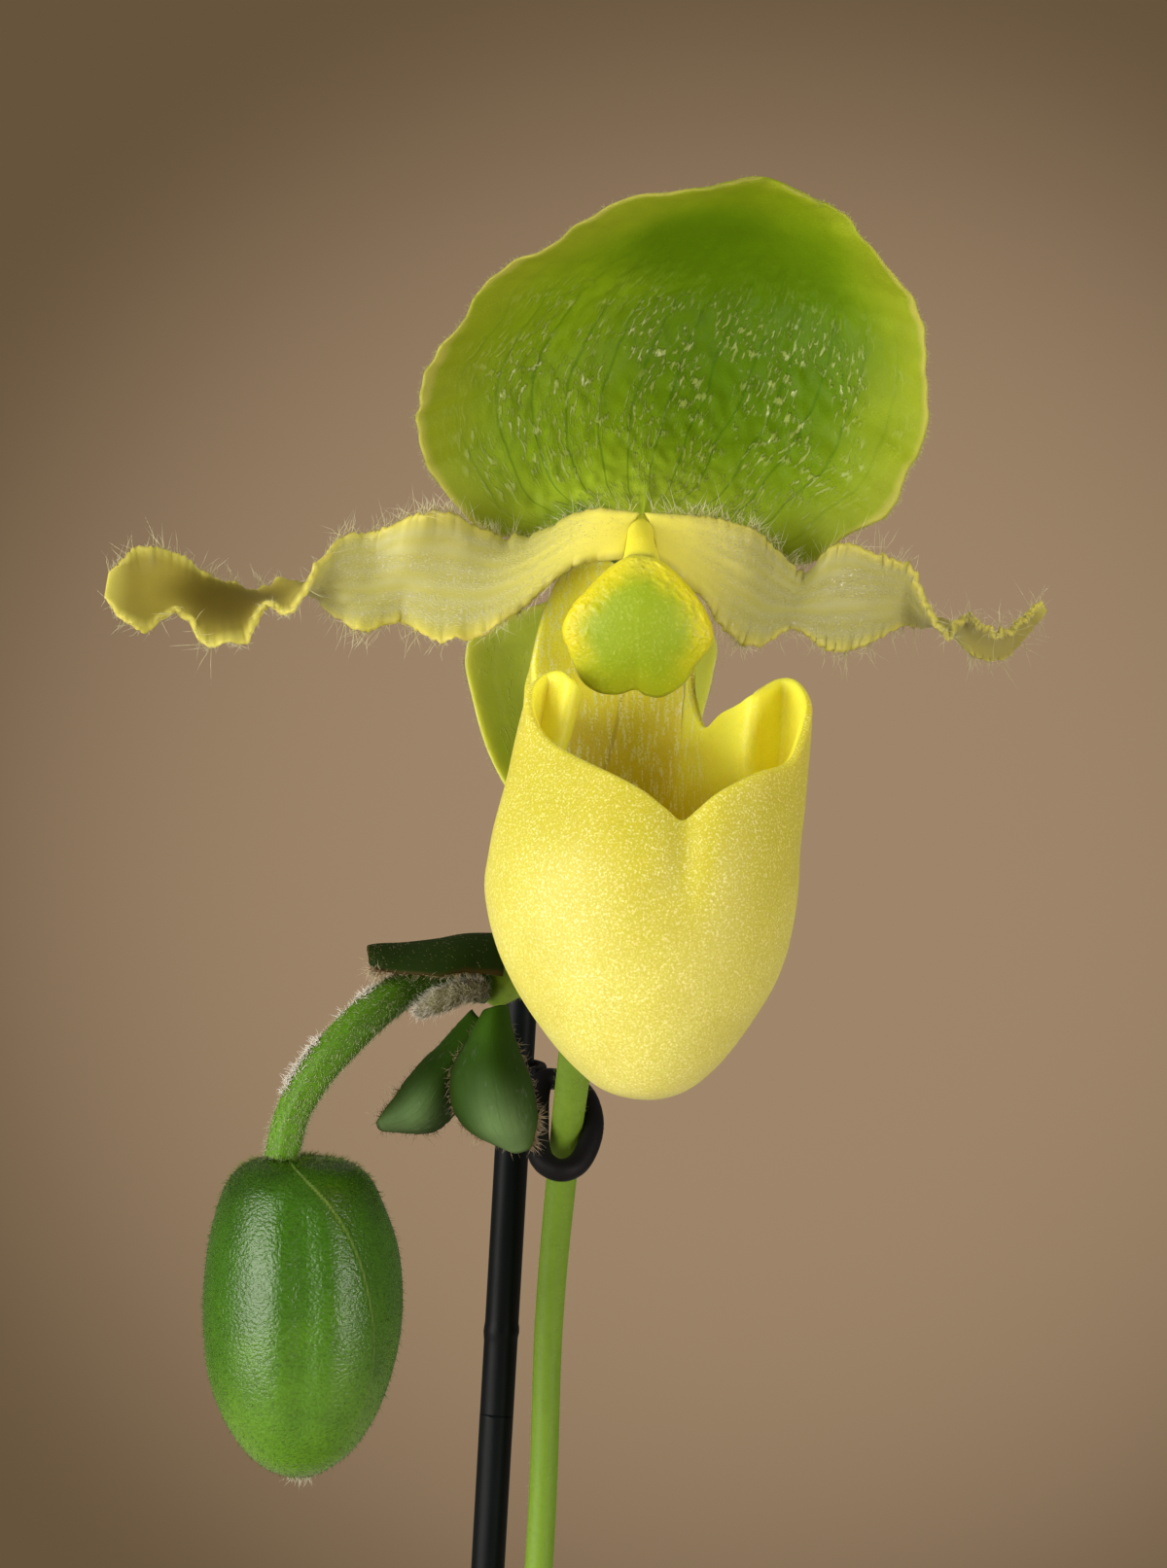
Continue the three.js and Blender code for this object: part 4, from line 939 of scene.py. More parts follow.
@dataclass(frozen=True)
class ShieldTissue(Finish):
    """The shield's glossy, swollen tissue: green in the middle, yellow and warty round its upper rim.

    Flow holds the place across and up (-1 to 1) and the share from the middle to the rim.
    """

    name: str = "warty shield tissue"
    middle: str = "#95aa1e"
    rim: str = "#dccf1e"
    neck: str = "#eadf44"
    # The glint colour is painted highlight.
    glint: str = "#d2dc74"

    def paint(self, g: Graph) -> None:
        """Builds the nodes.

        Args:
            g: The material's empty graph.
        """
        place = g.millimetres()
        _, up, share = g.flow()
        fine = g.noise(place, 3.6)
        wart = g.add("TexVoronoi", {"Vector": place, "Scale": 2.6}).outputs["Distance"]
        wander = g.times(g.math("SUBTRACT", g.noise(place, 0.5), 0.5), 0.35)
        outer = g.ramp(g.math("ADD", share, wander), 0.5, 1.05)
        upper = g.ramp(up, -0.75, 0.0)
        colour = g.tinted(
            linear(self.middle),
            (g.times(outer, g.times(upper, 0.75, 0.25)), self.rim),
            (g.ramp(up, 0.6, 1.1), self.neck),
            # Pale flecks of painted highlight.
            (g.times(g.ramp(fine, 0.5, 0.8), 0.3), self.glint),
        )
        warts = g.times(g.ramp(wart, 0.6, 0.1), g.times(outer, upper))
        normal = g.bumps((warts, 0.06), (fine, 0.05))
        g.shade(
            colour, roughness=0.4, specular=0.35, normal=normal, through=0.6, radius=(1.2, 1.1, 0.3)
        )


@dataclass(frozen=True)
class HideTissue(Finish):
    """Thick glossy skin of a bud or stalk: fine crosswise bumps that break up a clear shine."""

    body: str
    light: str
    dark: str
    end: str = ""
    seam: str = ""
    peel_mm: float = 0.35
    depth: float = 0.05
    roughness: float = 0.32
    specular: float = 0.5
    light_from: float = 0.35
    dark_until: float = 0.35

    def paint(self, g: Graph) -> None:
        """Builds the nodes.

        Args:
            g: The material's empty graph.
        """
        place = g.millimetres()
        lap, along, _ = g.flow()
        peel = g.noise(g.stretched(place, 0.8, 0.8, 1.15), 1.0 / self.peel_mm)
        level = g.times(g.math("SUBTRACT", g.noise(place, 0.18), 0.5), 0.5, along)
        colour = g.tinted(
            linear(self.body),
            (g.ramp(level, self.light_from, 1.0), self.light),
            (g.times(g.ramp(level, self.dark_until, 0.0), 0.9), self.dark),
            (g.times(g.ramp(peel, 0.6, 0.3), 0.3), self.dark),
        )
        if self.end:
            colour = g.tinted(colour, (g.ramp(along, 0.82, 0.97), self.end))
        if self.seam:
            colour = g.tinted(colour, (g.times(g.times(lap, g.rest(lap)), 2.4), self.seam))
        rough = g.times(peel, 0.16, self.roughness - 0.08)
        bent = g.bumps((peel, self.depth))
        g.shade(colour, rough, self.specular, normal=bent, through=0.1, radius=(0.6, 1.0, 0.25))


@dataclass(frozen=True)
class HairTissue(Finish):
    """Fine plant hair, lighter toward its tip."""

    root: str
    tip: str

    def paint(self, g: Graph) -> None:
        """Builds the nodes.

        Args:
            g: The material's empty graph.
        """
        tint, along, _ = g.flow()
        colour = g.tinted(linear(self.root), (along, self.tip), (g.times(tint, 0.3), self.root))
        g.shade(colour, roughness=0.5, specular=0.4)


@dataclass(frozen=True)
class MouldedPlastic(Finish):
    """Injection-moulded plastic: an even colour with a fine mould grain and faint wear."""

    body: str
    worn: str
    roughness: float = 0.4
    specular: float = 0.3
    grain_mm: float = 0.4
    depth: float = 0.01
    stretch: float = 1.0

    def paint(self, g: Graph) -> None:
        """Builds the nodes.

        Args:
            g: The material's empty graph.
        """
        place = g.millimetres()
        grain = g.noise(g.stretched(place, 1.0, 1.0, self.stretch), 1.0 / self.grain_mm, 3.0)
        dust = g.noise(place, 0.08, 4.0)
        colour = g.tinted(linear(self.body), (g.times(g.ramp(dust, 0.45, 0.8), 0.3), self.worn))
        rough = g.times(g.math("ADD", grain, dust), 0.12, self.roughness - 0.12)
        g.shade(colour, rough, self.specular, normal=g.bumps((grain, self.depth)))


@dataclass(frozen=True)
class PineBark(Finish):
    """Fir bark, broken and sieved: layered plates of red-brown cork with dark and grey faces."""

    name: str = "fir bark chips"
    dark: str = "#2e1c12"
    middle: str = "#6b452b"
    pale: str = "#a07a55"

    def paint(self, g: Graph) -> None:
        """Builds the nodes.

        Args:
            g: The material's empty graph.
        """
        place = g.millimetres()
        tint = g.flow()[0]
        plates = g.noise(g.stretched(place, 0.6, 0.6, 2.4), 0.5, 5.0)
        crumb = g.noise(place, 1.6, 4.0)
        colour = g.tinted(
            linear(self.dark),
            (g.ramp(plates, 0.35, 0.65), self.middle),
            (g.times(tint, 0.55), self.pale),
            (g.times(g.ramp(crumb, 0.55, 0.75), 0.5), self.dark),
        )
        normal = g.bumps((plates, 0.9), (crumb, 0.35))
        g.shade(colour, roughness=0.9, specular=0.25, normal=normal)


@dataclass(frozen=True)
class PaleFloor(Finish):
    """A matt studio floor with a faint cloudiness."""

    name: str = "matt pale floor"
    first: str = "#c9c1b6"
    second: str = "#d4cdc3"

    def paint(self, g: Graph) -> None:
        """Builds the nodes.

        Args:
            g: The material's empty graph.
        """
        cloud = g.noise(g.millimetres(), 0.02, 3.0)
        g.shade(g.tinted(linear(self.first), (cloud, self.second)), roughness=0.85)


# Pieces


def dress(
    name: str, shells: Sequence[Shell], finish: Finish, replaces: Sequence[str] = ()
) -> bpy.types.Object:
    """Makes one finished piece that rides with the part.

    Args:
        name: The piece's name.
        shells: Its closed surfaces.
        finish: Its finish.
        replaces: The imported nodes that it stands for.

    Returns:
        The object.
    """
    piece = make_mesh(name, joined(shells))
    piece.data.materials.append(finish.material())
    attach(piece, "root")
    if replaces:
        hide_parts(*replaces)
    faces = sum(2 * len(shell.quads) + len(shell.triangles) for shell in shells)
    log.info("%s: %d triangles", name, faces)
    return piece


@dataclass(frozen=True)
class Rails:
    """A surface from rows of its two margins and its midrib, joined across by a parabola.

    At v from -1 to 1 a point is left * v(v - 1)/2 + middle * (1 - v * v) + right * v(v + 1)/2.
    """

    left: Rows
    middle: Rows
    right: Rows

    def __call__(self, u: Array, v: Array) -> Array:
        """The surface at some places.

        Args:
            u: Places along it, from 0 to 1.
            v: Places across it, from -1 to 1.

        Returns:
            Its points, in millimetres of the part.
        """
        left, middle, right = (through(rows, u) for rows in (self.left, self.middle, self.right))
        w = v[..., None]
        return FLOWER + left * w * (w - 1) / 2 + middle * (1 - w * w) + right * w * (w + 1) / 2


@dataclass
class Margin:
    """Waves and small teeth that a sheet's two margins add to its surface."""

    surface: Surface
    waves: float
    height: float
    base: float = 0.15
    tip: float = 0.1
    lag: float = 2.1
    crinkle: float = 0.0
    crinkle_size: float = 0.03
    tooth: float = 0.0
    tooth_size: float = 0.008
    power: int = 4
    seed: int = 1
    nudge: float = 0.004

    def __call__(self, u: Array, v: Array) -> Array:
        """The waved surface: a sine along the margin plus a random crinkle, both by |v| to a power.

        Args:
            u: Places along it, from 0 to 1.
            v: Places across it, from -1 to 1.

        Returns:
            Its points, in millimetres of the part.
        """
        along, across = slopes(self.surface, u, v, self.nudge)
        fade = smooth(u / self.base) * smooth((1 - u) / self.tip) * np.abs(v) ** self.power
        edge = np.stack([u, 0.02 * np.sign(v)], -1)
        lift = self.height * np.sin(TURN * self.waves * u + self.lag * v)
        lift = lift + self.crinkle * ripple(edge, self.crinkle_size, self.seed)
        moved_by = unit(np.cross(along, across)) * (lift * fade)[..., None]
        if self.tooth:
            reach = self.tooth * ripple(edge, self.tooth_size, self.seed + 1, 40)
            reach = reach * np.sign(v) * np.abs(v) ** 10 * smooth(u / 0.1)
            moved_by = moved_by + unit(across) * reach[..., None]
        return self.surface(u, v) + moved_by


def moved(rows: Rows) -> Array:
    """Rows of the flower's own frame as rows of the part.

    Args:
        rows: Rows of [x, y, z, ...].

    Returns:
        The rows with the flower's place added to x, y and z.
    """
    table = np.array(rows, float)
    table[:, :3] += FLOWER
    return table


@dataclass
class Pot:
    """The moulded pot: a tapered wall, a stepped rim band and a floor with a ring of drain holes."""

    height: float = 105.0
    base_radius: float = 44.0
    top_radius: float = 57.0
    wall: float = 1.8
    floor: float = 2.4
    rim_height: float = 14.0
    rim_step: float = 3.0
    chamfer: float = 1.0
    sides: int = 144
    drain_holes: int = 8
    drain_radius: float = 4.0
    drain_circle: float = 30.0
    finish: MouldedPlastic = MouldedPlastic(
        "moulded terracotta polypropylene", "#8c4f35", "#a4745c", roughness=0.55, grain_mm=0.5,
        depth=0.02,
    )

    def outer(self, z: float) -> float:
        """The outer radius at a height."""
        return self.base_radius + (self.top_radius - self.base_radius) * z / self.height

    def build(self) -> None:
        """Turns the wall's outline about Z and cuts the drain holes through the floor."""
        foot = self.height - self.rim_height
        band = self.top_radius + self.rim_step
        profile = [
            (0, 0),
            (self.base_radius, 0),
            (self.outer(foot), foot),
            (self.outer(foot) + self.rim_step, foot + self.chamfer),
            (band, self.height),
            (self.outer(self.height) - self.wall, self.height),
            (self.outer(self.floor) - self.wall, self.floor),
            (0, self.floor),
        ]
        body = turned(rounded(profile, 0.7), self.sides)
        piece = dress("pot_moulded", [body], self.finish, ["pot"])
        angle = np.arange(self.drain_holes) * TURN / self.drain_holes
        centres = self.drain_circle * np.stack([np.cos(angle), np.sin(angle)], -1)
        low, high = -2, 5
        bore = self.drain_radius
        drill = turned([(0, low), (bore, low), (bore, high), (0, high)], 24)
        drills = drill.points[None] + np.pad(centres, ((0, 0), (0, 1)))[:, None]
        cutter = make_mesh("drill", repeated(drill, drills, np.zeros_like(drills)))
        cut = piece.modifiers.new("drain holes", "BOOLEAN")
        cut.operation = "DIFFERENCE"
        cut.solver = "EXACT"
        cut.object = cutter
        graph = bpy.context.evaluated_depsgraph_get()
        holed = bpy.data.meshes.new_from_object(piece.evaluated_get(graph))
        piece.modifiers.clear()
        piece.data = holed
        bpy.data.objects.remove(cutter)


@dataclass
class PottingMix:
    """A plug of packed bark with a crowd of loose-looking chips grown into its top."""

    top: float = 89.0
    bottom: float = 2.7
    plug_inset: float = 2.4
    chips: int = 330
    chip_size: tuple[float, float, float] = (6.6, 4.4, 2.6)
    seed: int = 7
    chip_sizes: tuple[float, float] = (0.55, 1.15)
    chip_tilt: float = 0.35
    chip_lift: tuple[float, float] = (-0.8, 3.2)
    broken_by: float = 0.75
    broken_mm: float = 5.0
    crown: tuple[float, float] = (17.0, 12.0)
    stake: tuple[float, float] = (-9.0, 24.4)
    stake_clearance: float = 7.0
    wall_clearance: float = 6.5

    def chip_template(self) -> Shell:
        """A blocky pebble: a sphere with its sine and cosine drawn toward a cube by a small power.

        Returns:
            A pebble of radius 1.
        """
        turn = np.linspace(0, HALF_TURN, 7)[1:-1, None]
        angle = np.linspace(0, TURN, 10, endpoint=False)[None, :]
        blocky = 0.45

        def square(x: Array) -> Array:
            """The power that keeps the sign."""
            return np.sign(x) * np.abs(x) ** blocky

        rim = np.abs(np.sin(turn)) ** blocky
        level = square(np.cos(turn)) + 0 * angle
        rings = np.stack([rim * square(np.cos(angle)), rim * square(np.sin(angle)), level], -1)
        return skin(rings, [np.array([0, 0, 1.0]), np.array([0, 0, -1.0])])

    def build(self, pot: Pot) -> None:
        """Scatters chips by even area over the pot's mouth, tilts each and roughens its corners.

        Args:
            pot: The pot that holds the mix.
        """
        draw = np.random.default_rng(self.seed)
        wide = pot.outer(self.top) - self.plug_inset
        profile = [(0, self.bottom), (pot.outer(self.bottom) - self.plug_inset, self.bottom)]
        profile += [(wide, self.top - 2), (wide * 0.6, self.top + 0.5), (0, self.top + 1)]
        plug = turned(rounded(profile, 1.0), 72)
        template = self.chip_template()
        reach = (wide - self.wall_clearance) * np.sqrt(draw.uniform(0.02, 1, self.chips))
        angle = draw.uniform(0, TURN, self.chips)
        place = np.stack([reach * np.cos(angle), reach * np.sin(angle)], -1)
        clear = (place[:, 0] / self.crown[0]) ** 2 + (place[:, 1] / self.crown[1]) ** 2 > 1.5
        clear &= np.linalg.norm(place - np.array(self.stake), axis=-1) > self.stake_clearance
        place = place[clear]
        count = len(place)
        size = np.array(self.chip_size) * draw.uniform(*self.chip_sizes, (count, 3))
        body = template.points[None] * size[:, None]
        phase = draw.uniform(0, 100, (count, 1, 3))
        broken = [ripple(body + phase, self.broken_mm, seed) for seed in (1, 2, 3)]
        body = body + self.broken_by * np.stack(broken, -1)
        tilt, slant = draw.normal(0, self.chip_tilt, (2, count))
        spin = draw.uniform(0, TURN, count)
        for angle_row, first, second in ((tilt, 1, 2), (slant, 0, 2), (spin, 0, 1)):
            cos, sin = np.cos(angle_row)[:, None], np.sin(angle_row)[:, None]
            a, b = body[..., first].copy(), body[..., second].copy()
            body[..., first], body[..., second] = a * cos - b * sin, a * sin + b * cos
        lift = self.top + draw.uniform(*self.chip_lift, count)
        body = body + np.concatenate([place, lift[:, None]], -1)[:, None]
        tint = draw.uniform(0, 1, (count, 1, 1)) * np.ones(body.shape)
        chips = repeated(template, body, tint)
        plug.flow[:] = 0.1
        dress("bark_mix", [plug, chips], PineBark(), ["potting_mix"])


@dataclass(frozen=True)
class LeafShape:
    """One strap leaf: which side it grows on, how it swings and folds, and the path of its keel."""

    side: int
    drift: float
    gap: float
    sheath: float
    roll: float
    keel: Rows


@dataclass
class LeafFan:
    """The two-ranked fan: each leaf folds round the younger ones and opens into an arched strap."""

    base: float = 95.6
    half_width: float = 19.0
    thickness: float = 0.8
    opening: float = 60.0
    unfolding: float = 55.0
    closing: float = 45.0
    sheath_fold: float = 1.5
    strap_fold: float = 0.3
    taper_from: float = 0.6
    wave_height: float = 0.8
    # Each leaf's side, drift, gap, sheath and roll, then its keel's [reach, height], youngest first.
    leaves: tuple[LeafShape, ...] = tuple(
        LeafShape(*numbers, keel=keel)
        for *numbers, keel in (
            (1, 0.1, 3, 40, 0.1, ((4.4, 0), (6.2, 30), (12.4, 60), (28, 94), (56, 114), (88, 116))),
            (-1, -0.12, 4.2, 33, -0.12, ((6.4, 0), (8.4, 26), (16.6, 56), (37, 86), (68, 101), (102, 96))),
            (1, -0.16, 5.4, 26, -0.15, ((8.4, 0), (11, 22), (22.6, 50), (50, 74), (90, 82), (128, 70))),
            (-1, 0.18, 6.6, 19, 0.12, ((10.2, 0), (13.2, 18), (27.6, 43), (58, 64), (98, 70), (137, 57))),
            (1, 0.2, 7.8, 12, 0.1, ((12.2, 0), (16.2, 14), (36.6, 35), (72, 50), (112, 50), (149, 33))),
            (-1, -0.14, 9, 6, -0.1, ((14, 0), (20.2, 12), (44.6, 29), (82, 40), (121, 34), (156, 14))),
        )
    )
    finish: Tissue = Tissue(
        "strap leaf tissue", body="#2f5a1c", margin="#3f6a20", base="#7a9440", vein="#244a16",
        back="#4a6c34", end="#2c561a", veins=16, vein_depth=0.05, margin_from=0.93,
        base_until=0.1, half_width=19, length=150, grain=0.35, roughness=0.36, specular=0.45,
        through=0.08, cloud=0.16,
    )

    def surface(self, shape: LeafShape) -> Callable[[Array, Array], Array]:
        """A leaf's surface: points off the keel, folded up by an angle that falls past the sheath.

        Args:
            shape: The leaf's own numbers.

        Returns:
            The surface.
        """
        start = np.array(shape.keel[0], float)
        sheath_width = 1.5 * shape.gap + 1.6

        def past(u: Array) -> Array:
            """How far a place along the leaf lies past its sheath."""
            return np.linalg.norm(through(shape.keel, u) - start, axis=-1) - shape.sheath

        def axis(u: Array) -> Array:
            """The keel's points: its reach and height, swung aside past the sheath.

            Args:
                u: Places along the leaf.

            Returns:
                The points.
            """
            reach, height = np.moveaxis(through(shape.keel, u), -1, 0)
            swing = shape.drift * smooth(past(u) / self.opening)
            return np.stack([shape.side * reach, (reach - start[0]) * swing, self.base + height], -1)

        def surface(u: Array, v: Array) -> Array:
            """The leaf's points: the keel's point, plus its half width out and up by the fold.

            Args:
                u: Places along the leaf.
                v: Places across it.

            Returns:
                The points.
            """
            beyond = past(u)
            opened = smooth(beyond / self.opening)
            forward = unit(axis(np.minimum(u + 0.01, 1)) - axis(np.maximum(u - 0.01, 0)))
            across = unit(np.stack([-shape.drift * opened, shape.side + 0 * u, 0 * u], -1))
            turn = (shape.roll * smooth((u - 0.3) / 0.6))[..., None]
            along_part = forward * np.sum(forward * across, -1, keepdims=True) * (1 - np.cos(turn))
            level = across * np.cos(turn) + np.cross(forward, across) * np.sin(turn) + along_part
            inward = unit(np.cross(forward, level))
            ending = np.maximum((u - self.taper_from) / (1 - self.taper_from), 0) ** 2.2
            tip = np.maximum(np.maximum(1 - ending, 0) ** 0.6, 0.05)
            width = (sheath_width + (self.half_width - sheath_width) * opened) * tip
            unfolded = smooth(beyond / self.unfolding)
            fold = self.sheath_fold + (self.strap_fold - self.sheath_fold) * unfolded
            spread = shape.gap * (1 - smooth(beyond / self.closing))
            q = np.abs(v)
            sideways = np.sign(v) * (spread * np.minimum(2 * q, 1) + width * q * np.cos(fold))
            wave = self.wave_height * q * q * np.sin(17 * u + 2 * v + shape.side)
            rise = width * q * np.sin(fold) + wave * smooth((u - 0.4) / 0.3)
            return axis(u) + level * sideways[..., None] + inward * rise[..., None]

        return surface

    def build(self) -> None:
        """Makes each leaf as a thin sheet."""
        for number, shape in enumerate(self.leaves, 1):
            sheet = Sheet(self.surface(shape), self.thickness, 84, 30)
            dress(f"leaf_blade_{number}", [sheet.shell()], self.finish, [f"leaf_{number}"])


def stalk_hairs(tube: Tube, count: int, hairs: Hairs, lie: float) -> Shell:
    """Short hairs over a bar, leaning along it.

    Args:
        tube: The bar.
        count: How many hairs grow on it.
        hairs: Their form.
        lie: How far they lean along the path, against 1 straight out.

    Returns:
        The strands.
    """
    draw = np.random.default_rng(hairs.seed + 1)
    t = draw.uniform(0, 1, count)
    angle = draw.uniform(0, TURN, count)
    roots, out = tube.at(t, angle)
    forward = tube.frame(t)[2]
    heading = out + lie * forward + 0.25 * draw.normal(size=(count, 3))
    return hairs.shell(roots - 0.03 * out, heading)


@dataclass
class Stalks:
    """The flower stem with its zigzag rachis, and the two hairy stalks that it bears."""

    stem_rows: Rows = (
        (-20, 24, -300.7, 1.6), (-18.4, 25.4, -250, 1.5), (-15.2, 26.8, -190, 1.4),
        (-12.1, 27.2, -135, 1.3), (-8.8, 26.2, -92, 1.25), (-7.9, 24.8, -70, 1.25),
        (-6.6, 22.2, -55, 1.35), (-5.6, 19.6, -46, 1.5), (-4.8, 17, -39.4, 1.6),
        (-6.2, 13.8, -36.9, 1.6), (-9.4, 10, -37.1, 1.5), (-12.4, 6.8, -38.1, 1.5),
    )
    ovary_rows: Rows = (
        (-4.5, 17.2, -37.4, 1.5), (-3.4, 20.4, -27, 1.9), (-1.8, 20.6, -17, 2.3),
        (-0.6, 16.6, -8, 2.4), (-0.1, 10.6, -2.2, 2.3), (0, 5.15, -0.5, 2.3),
    )
    bud_stalk_rows: Rows = (
        (-13, 6.3, -37.8, 1.4), (-16.8, 5.2, -36.9, 1.5), (-19.4, 3.8, -37.4, 1.5),
        (-22, 1.8, -38.9, 1.55), (-24.8, 0.4, -41.4, 1.6), (-27.5, 0, -44.6, 1.5),
        (-29.3, 0, -48, 1.4), (-30.1, 0, -51.4, 1.4),
    )
    green: HideTissue = HideTissue(
        "downy stem tissue", "#709226", "#86a432", "#64841f", peel_mm=0.5, depth=0.03,
        roughness=0.5, specular=0.3,
    )
    stalk_green: HideTissue = HideTissue(
        "downy stalk tissue", "#426810", "#5a8c14", "#2e4a0a", roughness=0.5, specular=0.2
    )
    pale_green: HideTissue = replace(stalk_green, name="pale-ended stalk tissue", end="#c4c452")
    down: HairTissue = HairTissue("pale down", "#8a9c58", "#d0d4b4")

    def bud_stalk(self) -> Tube:
        """The bud stalk's bar, with six shallow ribs.

        Returns:
            The bar.
        """

        def ribs(t: Array, angle: Array, _: Array) -> Array:
            """Ribs that twist a little on the way."""
            return 0.06 * np.cos(6 * angle + 2 * t) * smooth(t / 0.1)

        return Tube(moved(self.bud_stalk_rows), 14, 36, dome=0.08, relief=ribs)

    def build(self) -> None:
        """Makes the three bars and their down."""

        def ribs(_: Array, angle: Array, __: Array) -> Array:
            """Six straight ribs."""
            return 0.08 * np.cos(6 * angle)

        stem = Tube(moved(self.stem_rows), 14, 28)
        ovary = Tube(moved(self.ovary_rows), 14, 32, relief=ribs)
        stalk = self.bud_stalk()
        dress("flower_stem", [stem.shell()], self.green, ["peduncle"])
        dress("flower_stalk", [ovary.shell()], self.pale_green, ["flower_ovary"])
        dress("bud_stalk", [stalk.shell()], self.stalk_green, ["bud_ovary"])
        down = [
            stalk_hairs(stem, 3000, Hairs((0.2, 0.45), 0.012, 0.25, seed=21), 0.4),
            stalk_hairs(ovary, 1800, Hairs((0.2, 0.5), 0.012, 0.25, seed=23), 0.4),
        ]
        dress("stem_down", down, self.down)
        lying = stalk_hairs(stalk, 5600, Hairs((0.3, 0.6), 0.018, 0.3, seed=25), 0.9)
        dress("bud_stalk_down", [lying], self.down)


@dataclass
class StakeAndClip:
    """The slim plastic stake with its moulded collar, and the dark ring clip round it and the stem."""

    radius: float = 1.5
    foot: Row = (-29.1, 48.5, -368)
    middle: Row = (-13.4, 30, -93)
    head: Row = (-9.7, 26, -29)
    tip: Row = (-9.6, 25.9, -28.2, 1.2)
    collar_level: float = -71.3
    collar_height: float = 0.5
    ring_rows: Rows = (
        (-6.9, 18.4, -55.3, 1), (-5.1, 19.4, -54.6, 1), (-4, 21.4, -52, 0.95),
        (-4.6, 23.8, -49.6, 0.9), (-6.5, 24.8, -48.4, 0.9), (-8.5, 24.2, -48.4, 1),
        (-8.9, 21.8, -51.2, 1.05), (-8.6, 19.4, -54.2, 1.05),
    )
    bridge_rows: Rows = ((-8.8, 23.8, -49, 0.9), (-9.3, 24.4, -49.1, 0.9), (-9.9, 25.1, -49.2, 0.9))
    sleeve_level: float = -49.5
    sleeve_height: float = 5.0
    sleeve_wall: float = 1.0
    sleeve_gap: float = 0.3
    sleeve_start: float = 2.2
    sleeve_sweep: float = 5.0
    stake_finish: MouldedPlastic = MouldedPlastic(
        "glossy stake plastic", "#01070a", "#041012", roughness=0.45, specular=0.15, grain_mm=0.5,
        depth=0.012, stretch=0.12,
    )
    clip_finish: MouldedPlastic = MouldedPlastic(
        "matt clip plastic", "#0d0b10", "#161318", roughness=0.6, specular=0.2, grain_mm=0.35,
        depth=0.02,
    )

    def stake_line(self, level: float) -> Array:
        """The stake's middle at a height of its upper part."""
        low, high = np.array(self.middle), np.array(self.head)
        return low + (high - low) * (level - low[2]) / (high[2] - low[2])

    def collar(self, t: Array, _: Array, point: Array) -> Array:
        """A low moulded ring round the stake at one level."""
        level = point[..., 2] - FLOWER[2] - self.collar_level
        return 0.09 * np.exp(-((level / self.collar_height) ** 4))

    def sleeve(self) -> Shell:
        """An open sleeve: a rounded C-shaped outline, carried along the stake.

        Returns:
            The closed surface.
        """
        up = unit(np.array(self.head) - np.array(self.middle))
        side = unit(np.cross(up, np.array([0.0, 1.0, 0.0])))
        back = np.cross(up, side)
        bearing = np.linspace(self.sleeve_start, self.sleeve_start + self.sleeve_sweep, 40)[:, None]
        turn = np.linspace(0, TURN, 20, endpoint=False)[None, :]
        thick, tall = (
            0.5 * size * np.sign(wave) * np.abs(wave) ** 0.5
            for size, wave in ((self.sleeve_wall, np.cos(turn)), (self.sleeve_height, np.sin(turn)))
        )
        reach = self.radius + self.sleeve_gap + 0.5 * self.sleeve_wall + thick
        spread = (reach * np.cos(bearing), reach * np.sin(bearing), tall + 0 * bearing)
        centre = FLOWER + self.stake_line(self.sleeve_level)
        moves = (part[..., None] * axis for part, axis in zip(spread, (-side, back, up)))
        rings = centre + sum(moves)
        return skin(rings, [rings[0].mean(0), rings[-1].mean(0)])

    def build(self) -> None:
        """Makes the stake and the clip."""
        foot, middle, head = (np.array(row) for row in (self.foot, self.middle, self.head))
        near_collar = [self.stake_line(level) for level in (-80, -62)]
        shaft = [foot, 0.5 * (foot + middle), middle, *near_collar, head]
        rows = [(*point, self.radius) for point in shaft]
        rows.append(self.tip)
        stake = Tube(moved(rows), 40, 32, relief=self.collar, dome=0.5)
        dress("garden_stake", [stake.shell()], self.stake_finish, ["stake"])
        ring = Tube(moved(self.ring_rows), 10, 20, across=(0.0, 0.5, 1.0), closed=True)
        bridge = Tube(moved(self.bridge_rows), 4, 20)
        shells = [ring.shell(), bridge.shell(), self.sleeve()]
        dress("ring_clip", shells, self.clip_finish, ["stake_clip"])


def margin_hairs(
    sheet: Sheet, count: int, hairs: Hairs, spread: float, part: Row, sides: Row = (-1, 1)
) -> Shell:
    """Hairs along a sheet's margins, pointing outward.

    Args:
        sheet: The sheet.
        count: How many hairs grow on each margin.
        hairs: Their form.
        spread: How far a hair may stray from straight outward.
        part: The stretch of the margin that bears them.
        sides: Which margins bear them, as places across.

    Returns:
        The strands.
    """
    draw = np.random.default_rng(hairs.seed + 2)
    shells = []
    for side in sides:
        u = draw.uniform(*part, count)
        v = np.full(count, float(side))
        normal, along, across = sheet.facing(u, v)
        roots = sheet.surface(u, v)
        if sheet.relief is not None:
            roots = roots + normal * sheet.relief(u, v, roots)[..., None]
        outward = side * across
        stray = draw.normal(size=(count, 3)) * spread
        shells.append(hairs.shell(roots - 0.05 * outward, outward + stray + 0.25 * along))
    return joined(shells)


